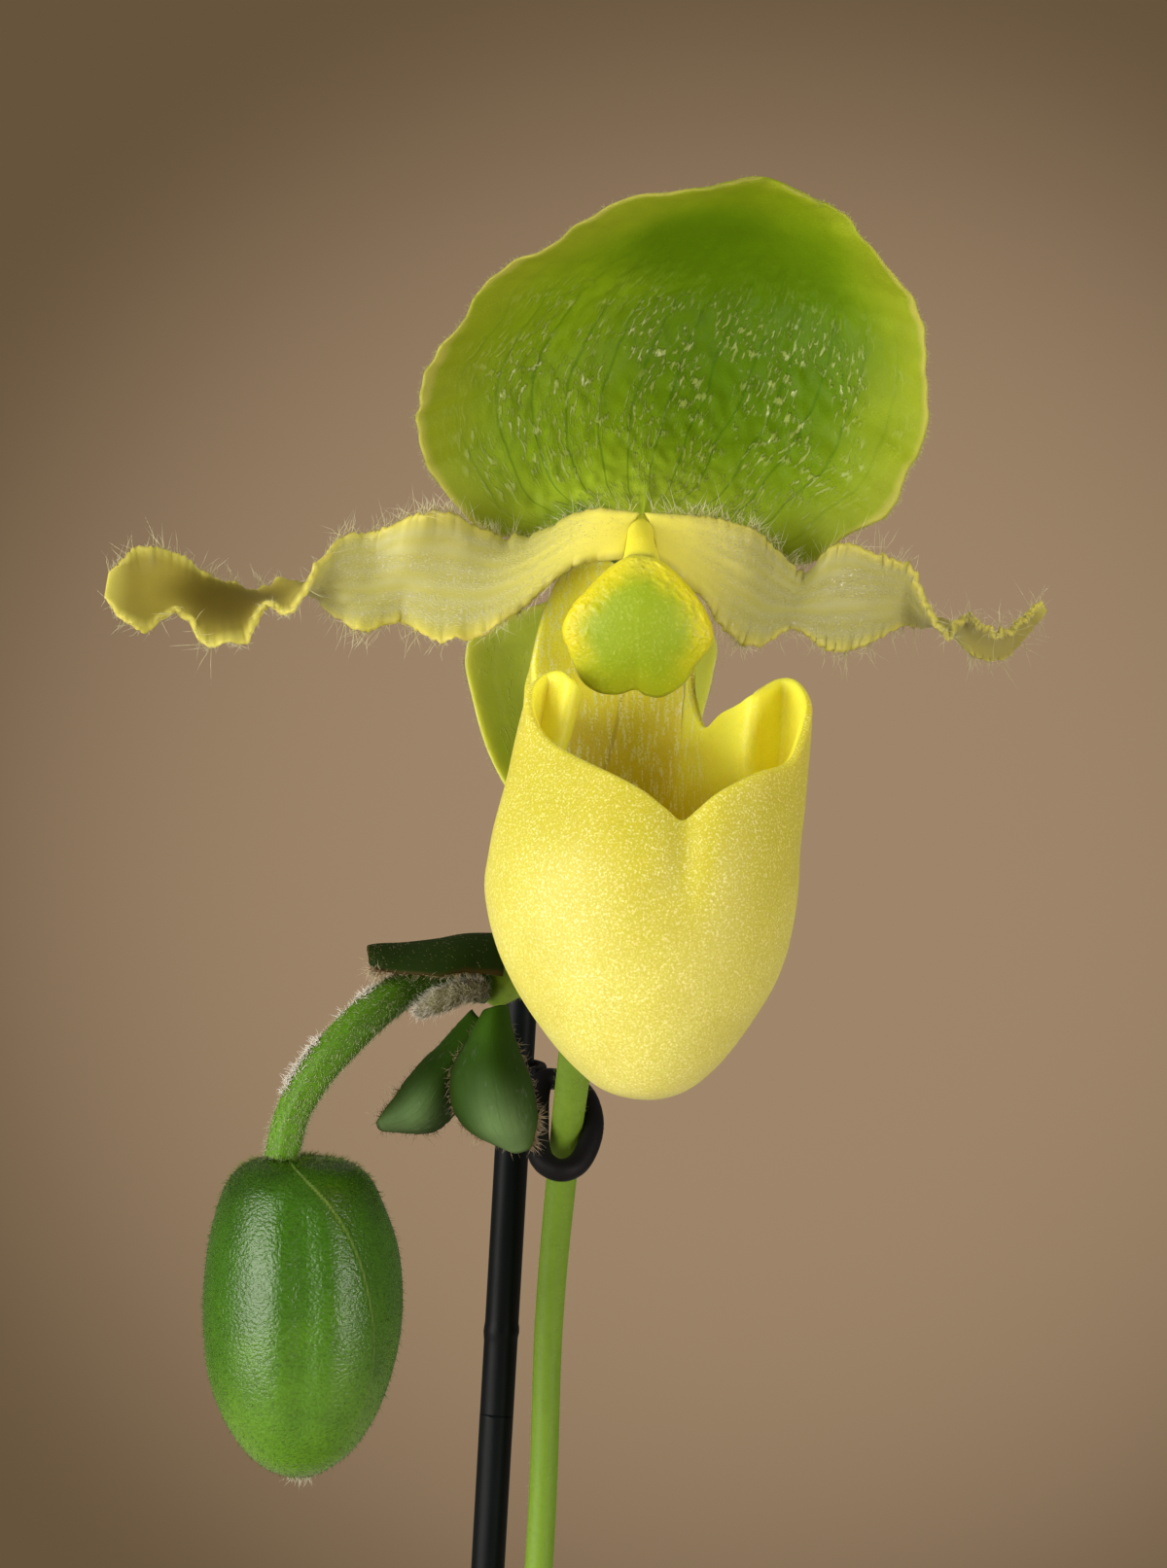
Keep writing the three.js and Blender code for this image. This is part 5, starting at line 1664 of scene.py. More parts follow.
def face_hairs(
    sheet: Sheet, count: int, hairs: Hairs, part: tuple[Row, Row], side: float, lie: float
) -> Shell:
    """Hairs on one face of a sheet, leaning toward its tip.

    Args:
        sheet: The sheet.
        count: How many hairs grow there.
        hairs: Their form.
        part: The stretch along and the stretch across that bear them.
        side: 1 for the face that the normal leaves, -1 for the other.
        lie: How far they lean along the sheet, against 1 straight out.

    Returns:
        The strands.
    """
    draw = np.random.default_rng(hairs.seed + 3)
    u = draw.uniform(*part[0], count)
    v = draw.uniform(*part[1], count)
    normal, along, _ = sheet.facing(u, v)
    thin = np.sqrt(1 - v[:, None] ** 8)
    roots = sheet.surface(u, v) + side * normal * 0.5 * sheet.thickness * thin
    heading = side * normal + lie * along + 0.3 * draw.normal(size=(count, 3))
    return hairs.shell(roots, heading)


@dataclass
class Sepals:
    """The dorsal sepal, a broad ribbed hood, and the synsepal, the narrow one behind the pouch."""

    thickness: float = 0.8
    rib_height: float = 0.04
    blister_height: float = 0.13
    blister_mm: float = 1.3
    keel_depth: float = 0.25
    dorsal: Rails = Rails(
        left=(
            (-2.2, 3.4, 1.7), (-8.2, 6.4, 0.4), (-13.4, 6.6, 0.9), (-17.3, 3.6, 5.6),
            (-18.8, 1, 10.4), (-17.6, 0, 14.2), (-15.2, -2, 18.5), (-12.6, -3, 21.5),
            (-8, -4, 24.9), (-2.5, -4, 27.7), (5.1, -3, 29.6), (10, -0.2, 30.3),
        ),
        middle=(
            (0.1, 3.7, 1.8), (0.4, 5.8, 3.4), (0.8, 8.2, 5.6), (1.5, 11, 9),
            (2.6, 13, 12.6), (3.9, 14, 15.9), (5.3, 14, 18.8), (6.7, 13, 21.3),
            (8.1, 10, 24), (9.4, 6, 26.5), (10.1, 3, 28.5), (10.7, 0, 30.1),
        ),
        right=(
            (2.4, 3.8, 1.6), (9.5, 7.8, -1.2), (14.1, 9, -2.1), (17.3, 7, 0.3),
            (20.8, 5, 2.6), (22.8, 5, 6.3), (23.7, 5, 10.3), (24, 5, 15.7),
            (22.2, 4, 20.5), (19, 2, 25.1), (15.3, 1, 27.9), (11.4, 0.1, 29.7),
        ),
    )
    fused: Rails = Rails(
        left=(
            (-2, 3.4, -2.9), (-8.1, 6, -5.2), (-13.6, 7, -7.3), (-14.8, 7, -9.6),
            (-14.4, 7, -12.6), (-12.5, 5.4, -18.6), (-8.3, 3.6, -25), (-4.6, 2.8, -28),
        ),
        middle=(
            (0, 3.7, -3), (-2.6, 7.6, -6), (-4.2, 10, -9), (-4.8, 11.2, -12),
            (-4.8, 11.2, -15), (-4.5, 9.4, -20.6), (-4.2, 6, -25.6), (-3.9, 3.4, -28.4),
        ),
        right=(
            (2, 3.6, -2.9), (4.6, 6.8, -5.4), (6.4, 8.6, -8.6), (6.2, 9, -11.1),
            (5.5, 9, -14), (3.7, 7, -19.6), (0, 4.6, -25.6), (-3.2, 3.2, -28.1),
        ),
    )
    # The hood's deep colour is painted shade in its cupped middle, under its leaning top and in its two
    # lower corners, and its pale glints are painted highlights. Its lighter base is partly painted
    # highlight where the glints crowd low on the hood; its margin and edge are partly the rim's own paler
    # colour and partly painted glow of light through it.
    dorsal_finish: Tissue = Tissue(
        "ribbed hood tissue", body="#7f9c12", margin="#8c9a20", base="#abbd36", vein="#3f6a0a",
        back="#7d8c2a", end="#7f9412", glint="#b4c064", glint_share=0.55, glint_mm=(0.34, 0.85),
        glint_level=0.5, cluster_mm=(3.0, 4.2), cluster_from=0.42, glint_zone=(0.03, 0.72),
        edge="#aaa84c", deep="#5a7c06",
        painted_shade_places=(
            (0.25, 0.8, 0.55, 0.42), (-0.25, 0.6, 0.77, 0.16),
            (-0.8, 0.5, 0.05, 0.12), (0.85, 0.4, 0.06, 0.14),
        ),
        veins=7, vein_width=0.07, vein_share=0.5, vein_until=0.75, vein_depth=0.03,
        margin_from=0.6, base_until=0.3, half_width=20, length=34, grain=0.2, grain_depth=0.04,
        specular=0.1, cloud=0.16,
    )
    fused_finish: Tissue = Tissue(
        "synsepal tissue", body="#b4c04c", margin="#b8bc54", base="#a4b040", vein="#c4c868",
        back="#a4a848", end="#a4b040", veins=4, vein_share=0.3, vein_depth=0.01, half_width=10,
        length=27, specular=0.2, through=0.9, radius=(2.0, 2.2, 0.7),
    )
    down: HairTissue = HairTissue("yellow-green down", "#a3ab48", "#cfcf8c")

    def ribs(self, u: Array, v: Array, points: Array) -> Array:
        """Low ribs between the veins and blisters between the ribs, fading toward the margin.

        Args:
            u: Places along it, from 0 to 1.
            v: Places across it, from -1 to 1.
            points: The surface's points there.

        Returns:
            How far each point is lifted.
        """
        lane = self.dorsal_finish.veins * v + 0.25 * ripple(np.stack([u, v], -1), 0.5, 31)
        rib = self.rib_height * np.cos(TURN * lane)
        upright = points * np.array([1.0, 1.0, 0.5])
        blister = self.blister_height * ripple(upright, self.blister_mm, 32, 32)
        inner = smooth((0.9 - np.abs(v)) / 0.3) * smooth(u / 0.12) * smooth((0.82 - u) / 0.25)
        keel = -self.keel_depth * bell(v, 0.0, 0.03) * smooth((0.5 - u) / 0.2)
        return (rib + blister) * inner + keel

    def build(self) -> None:
        """Makes both sepals and the down on the hood's margin."""
        waved = Margin(
            self.dorsal, waves=5.5, height=0.35, crinkle=0.16, crinkle_size=0.05, seed=41
        )
        hood = Sheet(waved, self.thickness, 150, 140, relief=self.ribs, front=-1)
        dress("dorsal_hood", [hood.shell()], self.dorsal_finish, ["dorsal_sepal"])
        fused = Sheet(self.fused, self.thickness, 90, 60)
        dress("fused_sepals", [fused.shell()], self.fused_finish, ["synsepal"])
        short = Hairs((0.25, 0.6), 0.014, 0.25, seed=43)
        down = [
            margin_hairs(hood, 700, short, 0.45, (0.08, 0.99)),
            margin_hairs(fused, 220, replace(short, seed=45), 0.4, (0.1, 0.98)),
            face_hairs(hood, 1500, replace(short, bend=0.3, seed=47), ((0.05, 0.9), (-0.9, 0.9)), 1, 0.8),
        ]
        dress("sepal_down", down, self.down)


@dataclass
class Petals:
    """The two narrow petals: pale, veined, waved and twisted, with long hairs on crinkled margins."""

    thickness: float = 0.7
    left: Rails = Rails(
        left=(
            (-0.15, -1.1, 2.7), (-4.6, -0.6, 2.9), (-9.3, 3.4, 0.6), (-12.6, 3.4, 0.8),
            (-16, 0, 2.7), (-18.9, -1, 2.5), (-21.8, 1.6, 1.1), (-24.9, 1, 0.6),
            (-27, -2.6, -2), (-29, -4, -5.4), (-31.1, -0.8, -5), (-32.6, -3.6, -7.7),
            (-35.9, -3, -8.1), (-38.6, 1.4, -5.7), (-41.7, -1.8, -7), (-44.6, -0.4, -4.4),
        ),
        middle=(
            (-1, -1.9, 1.1), (-5, -1.6, 0.6), (-9.6, -0.8, -2.2), (-12.9, 0, -3.2),
            (-16.3, 0.6, -2.8), (-19.6, 0.6, -2.3), (-22.5, 1, -3), (-25, 0.2, -2.9),
            (-27.4, 0.6, -3.5), (-29.4, 1.8, -4.3), (-31.6, 3.2, -4.9), (-33.7, 3.4, -5.3),
            (-36.4, 3.4, -5.1), (-39, 3.4, -4.4), (-41.8, 2.4, -4.2), (-44.5, 0.6, -3.4),
        ),
        right=(
            (-1.45, -2.5, -1.1), (-5.6, -2.2, -1.8), (-10.1, -3, -5.3), (-13.2, -4, -7.2),
            (-16.9, -4, -7.8), (-20, 0.4, -6.6), (-23.2, -2, -7.1), (-25.4, 1.4, -6.2),
            (-27.6, 4.2, -4.2), (-29.8, 6, -3.2), (-32.2, 7, -4.2), (-34.6, 6.8, -3.6),
            (-36.6, 6, -2.7), (-39, 5, -0.9), (-42, 3.4, -0.4), (-44.4, 1.6, -2.4),
        ),
    )
    right: Rails = Rails(
        left=(
            (0.15, -1.1, 2.7), (4.8, -0.6, 2.4), (8.7, 1, 1.5), (11.2, 3.6, -0.4),
            (13.8, 5.4, -2.7), (16.4, 3.6, -0.1), (20, 4.2, -1.1), (22.8, 5.6, -2.3),
            (24.3, 5.6, -6), (25.8, 5.4, -7.9), (27.4, 8.6, -6.3), (29, 8.2, -7.3),
            (30.7, 9.4, -8), (32.4, 12, -7), (34.3, 13.6, -5.4),
        ),
        middle=(
            (0.8, -1.9, 1.1), (5, -1, -1), (8.1, 0, -2.7), (10.4, 2, -4.3),
            (12.9, 2.8, -5.1), (15.6, 3.6, -4.5), (19.4, 5.6, -4.5), (22.2, 7.4, -4.9),
            (24.4, 8.4, -6.7), (26, 10.6, -7.6), (27.7, 12.4, -8), (29.4, 13, -8.9),
            (31.2, 13.8, -9), (32.9, 14.8, -7.5), (34.6, 14.6, -5.9),
        ),
        right=(
            (1.2, -2.5, -1.1), (4.8, -2.4, -4.4), (7.1, -2, -7.3), (9.5, -1, -8.5),
            (12.6, 2, -7.2), (15.6, 2.6, -9), (18.2, 4.2, -8.9), (21.8, 8, -7.4),
            (24, 11, -7.4), (26, 14.4, -7.2), (27.8, 14.2, -9.6), (29.8, 15.4, -10.7),
            (31.8, 17.2, -10.2), (33.4, 17.4, -8.2), (34.9, 15.6, -6.4),
        ),
    )
    # The petals' deep colour is painted shade inside the left petal's curl toward its tip, and their pale
    # glints are painted highlights.
    finish: Tissue = Tissue(
        "pale veined petal tissue", body="#b8b576", margin="#c6be5c", base="#e8e062",
        vein="#b4ae48", back="#a0943c", end="#a89c44", glint="#e6e2c0", glint_share=0.45,
        glint_mm=(0.16, 0.26), glint_level=0.5, cluster_mm=(2.2, 9.0),
        cluster_from=0.42, edge="#c6ba58", deep="#665814",
        painted_shade_places=((0.05, 1.0, 0.74, 0.19),),
        glint_zone=(0.02, 0.75), veins=3.5, vein_width=0.5, vein_share=0.5, vein_until=0.68,
        vein_depth=0.02, margin_from=0.7, base_until=0.24, end_from=0.35, half_width=5, length=46,
        grain=0.18, grain_depth=0.015, roughness=0.42, through=0.5, cloud=0.08,
    )
    # The right petal turns its front to the light for longer: it has no painted shade at its twist,
    # and stays yellow-green there.
    right_finish: Tissue = replace(
        finish, name="yellow-green petal tissue", painted_shade_places=(), back="#b0a444"
    )
    hair: HairTissue = HairTissue("long petal hair", "#ccc684", "#fbf8e0")

    def build(self) -> None:
        """Makes both petals, the long hairs of their margins and the fringe over the column."""
        plan = (
            ("left", self.left, self.finish, 340, 1, 51),
            ("right", self.right, self.right_finish, 310, -1, 61),
        )
        for name, rails, finish, steps, front, seed in plan:
            edge = Margin(
                rails, waves=17, height=0.15, base=0.04, tip=0.04, power=5,
                crinkle=0.24, crinkle_size=0.02, tooth=0.1, seed=seed,
            )
            petal = Sheet(edge, self.thickness, steps, 38, front=front)
            dress(f"petal_{name}_blade", [petal.shell()], finish, [f"petal_{name}"])
            long = Hairs((1.2, 2.9), 0.019, 0.22, seed=seed + 1)
            fine = Hairs((0.3, 0.8), 0.013, 0.3, seed=seed + 2)
            inner = Hairs((0.8, 2.0), 0.024, 0.35, seed=seed + 3)
            down = Hairs((0.2, 0.45), 0.01, 0.3, seed=seed + 4)
            strands = [
                margin_hairs(petal, 130, long, 0.45, (0.25, 1.0)),
                margin_hairs(petal, 420, fine, 0.5, (0.05, 1.0)),
                margin_hairs(petal, 190, inner, 0.4, (0.01, 0.32), (-1,)),
                margin_hairs(petal, 70, inner, 0.5, (0.03, 0.2), (1,)),
                face_hairs(petal, 500, down, ((0.01, 0.3), (-1, 0.2)), front, 0.6),
            ]
            dress(f"petal_{name}_hairs", strands, self.hair)


@dataclass
class Lip:
    """The slipper: a hanging pouch whose wall rises to a free rim, two curled ears and a claw."""

    toe: float = -44.1
    height: float = 33.0
    thickness: float = 0.9
    fold_foot: float = -28.0
    fold_rise: float = 13.0
    mouth_level: float = -16.0
    rim_power: float = 7.0
    crease_bearing: float = 18.0
    crease_width: float = 7.0
    crease_depth: float = 0.3
    crease_from: float = 0.78
    uneven_by: float = 0.06
    uneven_mm: float = 7.0
    steps_around: int = 300
    steps_up: int = 76
    # Rows are [centre x, half width, centre y, half depth] at even steps of an arc up to the mouth.
    sections: Rows = (
        (0.4, 0, -13, 0), (0.2, 3, -13, 3.3), (0.2, 5.5, -12.6, 6),
        (0.15, 8, -12.2, 8), (0.05, 10.6, -11.7, 9.5), (-0.15, 12.1, -11.2, 10.5),
        (0.05, 12.3, -10.9, 10.8), (1, 11.9, -9.6, 9.9), (2.1, 11.3, -8.6, 9),
    )
    # Rows are [bearing in degrees, x, y and z of the rim, x and y of the wall below it]: notch,
    # right ear, side lobe, claw, left ear, notch. The wall's own places hold the ears' curl.
    rim_rows: Rows = (
        (16, 3.2, -19.4, -21.6, 4.9, -18.6), (30, 5.8, -19, -19.5, 7.6, -17.7),
        (47, 9, -17.3, -18, 10.2, -15.9), (64, 11.5, -14.6, -17.4, 12, -13.5),
        (76, 12.6, -12.4, -15.8, 12.9, -11.5), (86, 13.3, -9.8, -13.5, 13.3, -9.2),
        (96, 13.1, -7.2, -12.1, 13.3, -6.6), (105, 12.4, -5, -11.3, 12.7, -4.4),
        (112, 11.2, -4.6, -11.3, 11.5, -3.7), (118, 10, -6.2, -11.8, 10, -5.2),
        (122, 9.1, -7.6, -12.3, 8.9, -8.2), (127, 8.3, -6.8, -13, 7.8, -8.2),
        (132, 7.6, -5.4, -13.5, 7, -5.4), (141, 6.6, -3.6, -14.2, 6.3, -3.4),
        (156, 5.1, -1.8, -15.5, 5.2, -1.2), (167, 4.2, -0.4, -12.6, 4.2, -0.2),
        (172, 3.8, 0.2, -7.4, 3.6, 0.2), (179, 2.9, 0.7, -4.1, 2.6, 0.5),
        (194, 0, 1, -3.6, -0.2, 0.8), (212, -3.2, 0.7, -1.6, -3.4, 0.4),
        (223, -6.1, 0.4, -2.3, -6.2, -0.2), (231, -8.2, -0.2, -6.2, -8.4, -1.2),
        (237, -9.3, -1.4, -11.8, -9, -2.4), (243, -8.5, -2.7, -13.4, -8.6, -3.2),
        (247, -7.2, -4.2, -13.6, -7.7, -4.2), (251, -5.9, -6, -12.9, -6.6, -5.8),
        (256, -5.5, -7.8, -12, -6.3, -7.8), (260, -5.9, -8.6, -10.9, -6.7, -8.7),
        (265, -6.8, -7.8, -10.4, -7.5, -7.9), (272, -7.9, -7.2, -10.7, -8.4, -7),
        (280, -9, -8.7, -11.6, -9.6, -8), (287, -9.2, -10.4, -13, -10.1, -9.7),
        (293, -8.8, -11.8, -14.2, -9.9, -11), (300, -7.9, -13.2, -15.4, -9.2, -12.8),
        (309, -6.5, -14.9, -16.3, -7.9, -14.8), (321, -4.7, -16.8, -17.1, -6.1, -16.8),
        (335, -2.7, -18.6, -17.9, -3.6, -18), (350, -0.2, -19.4, -19.2, -0.4, -18.8),
        (363, 1.4, -19.6, -20.4, 2.2, -19),
    )

    def rim(self, t: Array) -> Array:
        """The rim's row at a share of its round; the bearing counts on past a turn.

        Args:
            t: Shares of the round.

        Returns:
            Rows of [bearing, x, y, z, wall x, wall y].
        """
        rows = np.array(self.rim_rows, float)
        turn = np.zeros(rows.shape[1])
        turn[0] = 360
        lap = np.vstack([rows[-2:] - turn, rows, rows[:3] + turn])
        place = (np.mod(t, 1.0) * len(rows) + 2) / (len(lap) - 1)
        return through(lap, place) + np.floor(t)[..., None] * turn

    def oval(self, bearing: Array, z: Array) -> Array:
        """The pouch's plain oval section: its middle plus its half width and depth by the bearing.

        Args:
            bearing: Bearings in degrees.
            z: Heights.

        Returns:
            Points as [x, y].
        """
        arc = np.arccos(1 - np.clip((z - self.toe) / self.height, 0, 1))
        section = through(self.sections, arc * 2 / HALF_TURN)
        x, half_width, y, half_depth = np.moveaxis(section, -1, 0)
        angle = np.radians(bearing)
        return np.stack([x + half_width * np.sin(angle), y - half_depth * np.cos(angle)], -1)

    def wall(self, row: Array, z: Array) -> Array:
        """The oval section, drawn toward the curled outline of the mouth as the wall rises.

        Args:
            row: Rows of the rim.
            z: Heights.

        Returns:
            Points as [x, y, z].
        """
        bearing = row[..., 0]
        curl = row[..., 4:] - self.oval(bearing, np.full_like(z, self.mouth_level))
        rise = smooth((z - self.fold_foot) / self.fold_rise)[..., None]
        return np.concatenate([self.oval(bearing, z) + curl * rise, z[..., None]], -1)

    def surface(self, t: Array, v: Array) -> Array:
        """From toe to rim: the wall, eased onto the rim by a high power of v.

        Args:
            t: Shares of the round.
            v: Places from the toe, at 0, to the rim, at 1.

        Returns:
            Points as [x, y, z].
        """
        row = self.rim(t)
        bearing, point = row[..., 0], row[..., 1:4]
        climb = self.toe + (point[..., 2] - self.toe) * (1 - np.cos(v * HALF_TURN / 2))
        drift = point - self.wall(row, point[..., 2])
        angle = np.radians(bearing)
        out = np.stack([np.sin(angle), -np.cos(angle), 0 * bearing], -1)
        notch = bell(np.mod(bearing + 180, 360) - 180, self.crease_bearing, self.crease_width)
        crease = self.crease_depth * notch * smooth((v - self.crease_from) / 0.18)
        crease = crease * smooth((1.08 - v) / 0.15)
        return self.wall(row, climb) + drift * (v**self.rim_power)[..., None] - out * crease[..., None]

    def shell(self) -> Shell:
        """The outer face from the toe up, a half round over the rim, and the inner face back down.

        Returns:
            The closed surface.
        """
        around = np.arange(self.steps_around) / self.steps_around
        up = np.linspace(0, 1, self.steps_up + 1)[1:]
        v, t = np.meshgrid(up, around, indexing="ij")
        step = 0.001
        middle = self.surface(t, v)
        forward = self.surface(t + step, v) - self.surface(t - step, v)
        rise = unit(self.surface(t, np.minimum(v + step, 1)) - self.surface(t, v - step))
        normal = unit(np.cross(forward, rise))
        uneven = self.uneven_by * ripple(middle, self.uneven_mm, 71)[..., None] * normal
        half = 0.5 * self.thickness * normal
        turn = np.linspace(0, HALF_TURN, 9)[1:-1]
        outward, upward = np.cos(turn)[:, None, None], np.sin(turn)[:, None, None]
        over = half[-1] * outward + unit(rise[-1]) * 0.5 * self.thickness * upward
        inner_face = (middle + uneven - half)[::-1]
        rings = np.concatenate([middle + uneven + half, middle[-1] + uneven[-1] + over, inner_face])
        toe = self.surface(np.array([0.0]), np.array([0.0]))[0]
        deep = np.array([0, 0, 0.5 * self.thickness])
        sine = np.sin(np.radians(self.rim(around)[:, 0]))
        level = np.concatenate([up, np.ones(len(turn)), up[::-1]])[:, None]
        side = np.concatenate([np.ones(len(up)), np.cos(turn), -np.ones(len(up))])[:, None]
        flow = np.stack([sine[None] + 0 * level, level + 0 * sine, side + 0 * sine], -1)
        return skin(FLOWER + rings, [FLOWER + toe - deep, FLOWER + toe + deep], flow)

    def build(self) -> None:
        """Makes the slipper."""
        dress("slipper_pouch", [self.shell()], PouchTissue(), ["lip"])


@dataclass
class Column:
    """The column: a neck between the petals, with the heart-shaped warty shield at its end."""

    centre: tuple[float, float] = (-0.4, -6.7)
    thickness: float = 1.2
    face: float = -7.6
    dome: float = 1.2
    level: float = 2.0
    bow_above: float = 0.055
    bow_below: float = 0.03
    outline: Rows = (
        (0.1, 6.3), (2.3, 5.4), (4.2, 3.6), (5.6, 1.6), (6.2, -0.2), (5.9, -1.5), (4.8, -2.9),
        (3.8, -4.5), (2.1, -5.6), (0.7, -5.5), (-0.2, -5), (-1.6, -5.4), (-3.3, -5.2), (-4.7, -4.1),
        (-5.5, -2.1), (-6.2, 0.1), (-5.3, 2.1), (-4, 3.5), (-2.2, 5.2),
    )
    neck_rows: Rows = (
        (0, 4.6, 0.5, 1.7), (-0.1, 1.4, 1, 1.4), (-0.1, -1.7, 1, 1.1),
        (-0.15, -3.9, 0.1, 1.2), (-0.1, -5.2, -1.4, 1.6), (-0.2, -6.1, -3.2, 1.95),
    )
    wart_mm: float = 0.6
    wart_height: float = 0.09
    dent: float = 0.14

    def lean(self, z: Array) -> Array:
        """How far the shield's face bows back above and below its flattest level."""
        bow = np.where(z > self.level, self.bow_above, self.bow_below)
        return self.face + bow * (z - self.level) ** 2

    def shield(self) -> Shell:
        """Copies of the outline, shrunk toward the middle on a dome, over a round rim to the back.

        Returns:
            The closed surface.
        """
        sides = 160
        round_row = through(self.outline, np.arange(sides) / sides, True)
        turn = np.linspace(0, HALF_TURN, 12)
        brim = 0.94
        front = np.sin(np.linspace(0, HALF_TURN / 2, 40))[1:-1] * brim
        rim_share = brim + (1 - brim) * np.sin(turn)
        rim_depth = 0.5 * self.thickness * (1 - np.cos(turn))
        back = np.linspace(brim, 0.05, 12)[1:]
        share = np.concatenate([front, rim_share, back])[:, None]
        depth = np.concatenate([0 * front, rim_depth, np.full(len(back), self.thickness)])[:, None]
        x, z = share * round_row[:, 0], share * round_row[:, 1]
        level = np.concatenate([1 - front**2, 1 - rim_share**2, 0.1 * (1 - back**2)])[:, None]
        y = self.lean(z) - self.dome * level + depth
        points = np.stack([self.centre[0] + x, y, self.centre[1] + z], -1)
        is_front = np.concatenate([np.ones(len(front)), 0.5 + 0.5 * np.cos(turn), 0 * back])
        upper = smooth((z + 3.2) / 3.0) * smooth((share - 0.5) / 0.3) * is_front[:, None]
        wart = np.maximum(ripple(points, self.wart_mm, 81, 40), -0.2)
        hollow = -self.dent * bell(x, -0.3, 1.3) * bell(z, -4.9, 1.3) * is_front[:, None]
        points[..., 1] -= self.wart_height * wart * upper + hollow
        flow = np.stack([x / 6.2, z / 6.3, share + 0 * x], -1)
        middle = self.lean(np.array(0.0))
        poles = [
            FLOWER + np.array([self.centre[0], middle - self.dome * bow + deep, self.centre[1]])
            for bow, deep in ((1.0, 0.0), (0.1, self.thickness))
        ]
        return skin(FLOWER + points, poles, flow)

    def build(self) -> None:
        """Makes the neck and the shield as one piece."""
        neck = Tube(moved(self.neck_rows), 10, 32, across=(1.0, 0.0, 0.0)).shell()
        neck.flow = np.tile(np.array([0.0, 1.2, 0.3]), (len(neck.points), 1))
        dress("column_shield", [self.shield(), neck], ShieldTissue(), ["column"])


@dataclass
class Bud:
    """The bud: an egg with flattened shoulders, a shallow furrow and one sepal that laps the next."""

    # Rows are [middle x, radius, z] from the bud's crown down to its tip.
    rows: Rows = (
        (-29.4, 0, -51.4), (-28.8, 3.8, -51.7), (-28.5, 5.9, -53), (-28.4, 7.1, -55.4),
        (-28.2, 8.15, -59), (-28.2, 8.55, -63), (-28.3, 8.4, -66.6), (-28.5, 7.8, -70),
        (-28.6, 6.5, -73.4), (-28.7, 4.6, -76.2), (-28.8, 2.3, -77.9), (-28.8, 0, -78.4),
    )
    # The bearing of the lapping sepal's free edge, at even steps from the crown to the tip.
    seam: Rows = ((4.5,), (4.8,), (5.2,), (5.42,), (5.55,), (5.6,), (5.62,), (5.6,))
    middle: Row = (-28.5, 0, 0)
    end: Row = (-28.8, 0, -78.3)
    furrow: float = 4.76
    furrow_depth: float = 0.065
    lap_depth: float = 0.04
    lap_sweep: float = 2.6
    rib_depth: float = 0.012
    hairs: int = 5200
    tuft_hairs: int = 60
    hide: HideTissue = HideTissue(
        "glossy bud hide", "#346202", "#5f9204", "#1b3802", seam="#86a352", peel_mm=0.26,
        depth=0.11, roughness=0.26, specular=0.6,
    )
    down: HairTissue = HairTissue("bud down", "#38580a", "#6c8a24")
    tip: HairTissue = HairTissue("pale bud tip hair", "#a8a888", "#ebe6d2")

    def at(self, h: Array, angle: Array) -> tuple[Array, Array]:
        """The bud's surface: a round section, less its furrow and lap, plus three low ribs.

        Args:
            h: Shares of the way down.
            angle: Bearings, in radians.

        Returns:
            The points, and how far each lies under the lap, from 0 to 1.
        """
        x, radius, z = np.moveaxis(through(self.rows, h), -1, 0)
        past = np.mod(angle - through(self.seam, h)[..., 0], TURN)
        step = smooth(past / 0.05) * smooth((self.lap_sweep - past) / 1.2)
        groove = self.furrow_depth * bell(angle, self.furrow, 0.2)
        groove = groove * smooth((h - 0.12) / 0.2) * smooth((0.85 - h) / 0.25)
        rib = self.rib_depth * np.cos(3 * (angle - self.furrow)) * smooth((h - 0.1) / 0.3)
        reach = radius * (1 - groove - self.lap_depth * step + rib)
        point = np.stack([x + reach * np.cos(angle), reach * np.sin(angle), z], -1)
        return FLOWER + point, step

    def build(self) -> None:
        """Makes the bud's hide and its down."""
        height = np.linspace(0, 1, 112)[1:-1]
        h, angle = np.meshgrid(height, np.linspace(0, TURN, 200, endpoint=False), indexing="ij")
        points, step = self.at(h, angle)
        flow = np.stack([step, h, np.sin(angle)], -1)
        poles = [self.at(np.array([end]), np.array([0.0]))[0][0] for end in (0.0, 1.0)]
        dress("bud_hide", [skin(points, poles, flow)], self.hide, ["bud"])
        draw = np.random.default_rng(91)
        h = draw.uniform(0.02, 0.98, self.hairs) ** 1.6
        angle = draw.uniform(0, TURN, self.hairs)
        roots, _ = self.at(h, angle)
        nearby = 0.01
        down = unit(self.at(h + nearby, angle)[0] - self.at(h - nearby, angle)[0])
        round_way = unit(self.at(h, angle + nearby)[0] - self.at(h, angle - nearby)[0])
        out = unit(np.cross(round_way, down))
        from_middle = roots - FLOWER - self.middle
        out = out * np.sign(np.sum(out[:, :2] * from_middle[:, :2], -1, keepdims=True))
        heading = 0.8 * out + 0.6 * down + 0.25 * draw.normal(size=(self.hairs, 3))
        short = Hairs((0.3, 0.6), 0.016, 0.25, seed=93).shell(roots, heading, 1.15 - 0.45 * h)
        spread = 0.5 * draw.normal(size=(self.tuft_hairs, 3)) * [1, 1, 0.1]
        hanging = [0, 0, -1] + 0.4 * draw.normal(size=(self.tuft_hairs, 3))
        ends = FLOWER + np.array(self.end) + spread
        tuft = Hairs((0.6, 1.2), 0.03, 0.3, seed=95).shell(ends, hanging)
        dress("bud_down", [short], self.down)
        dress("bud_tip_hairs", [tuft], self.tip)


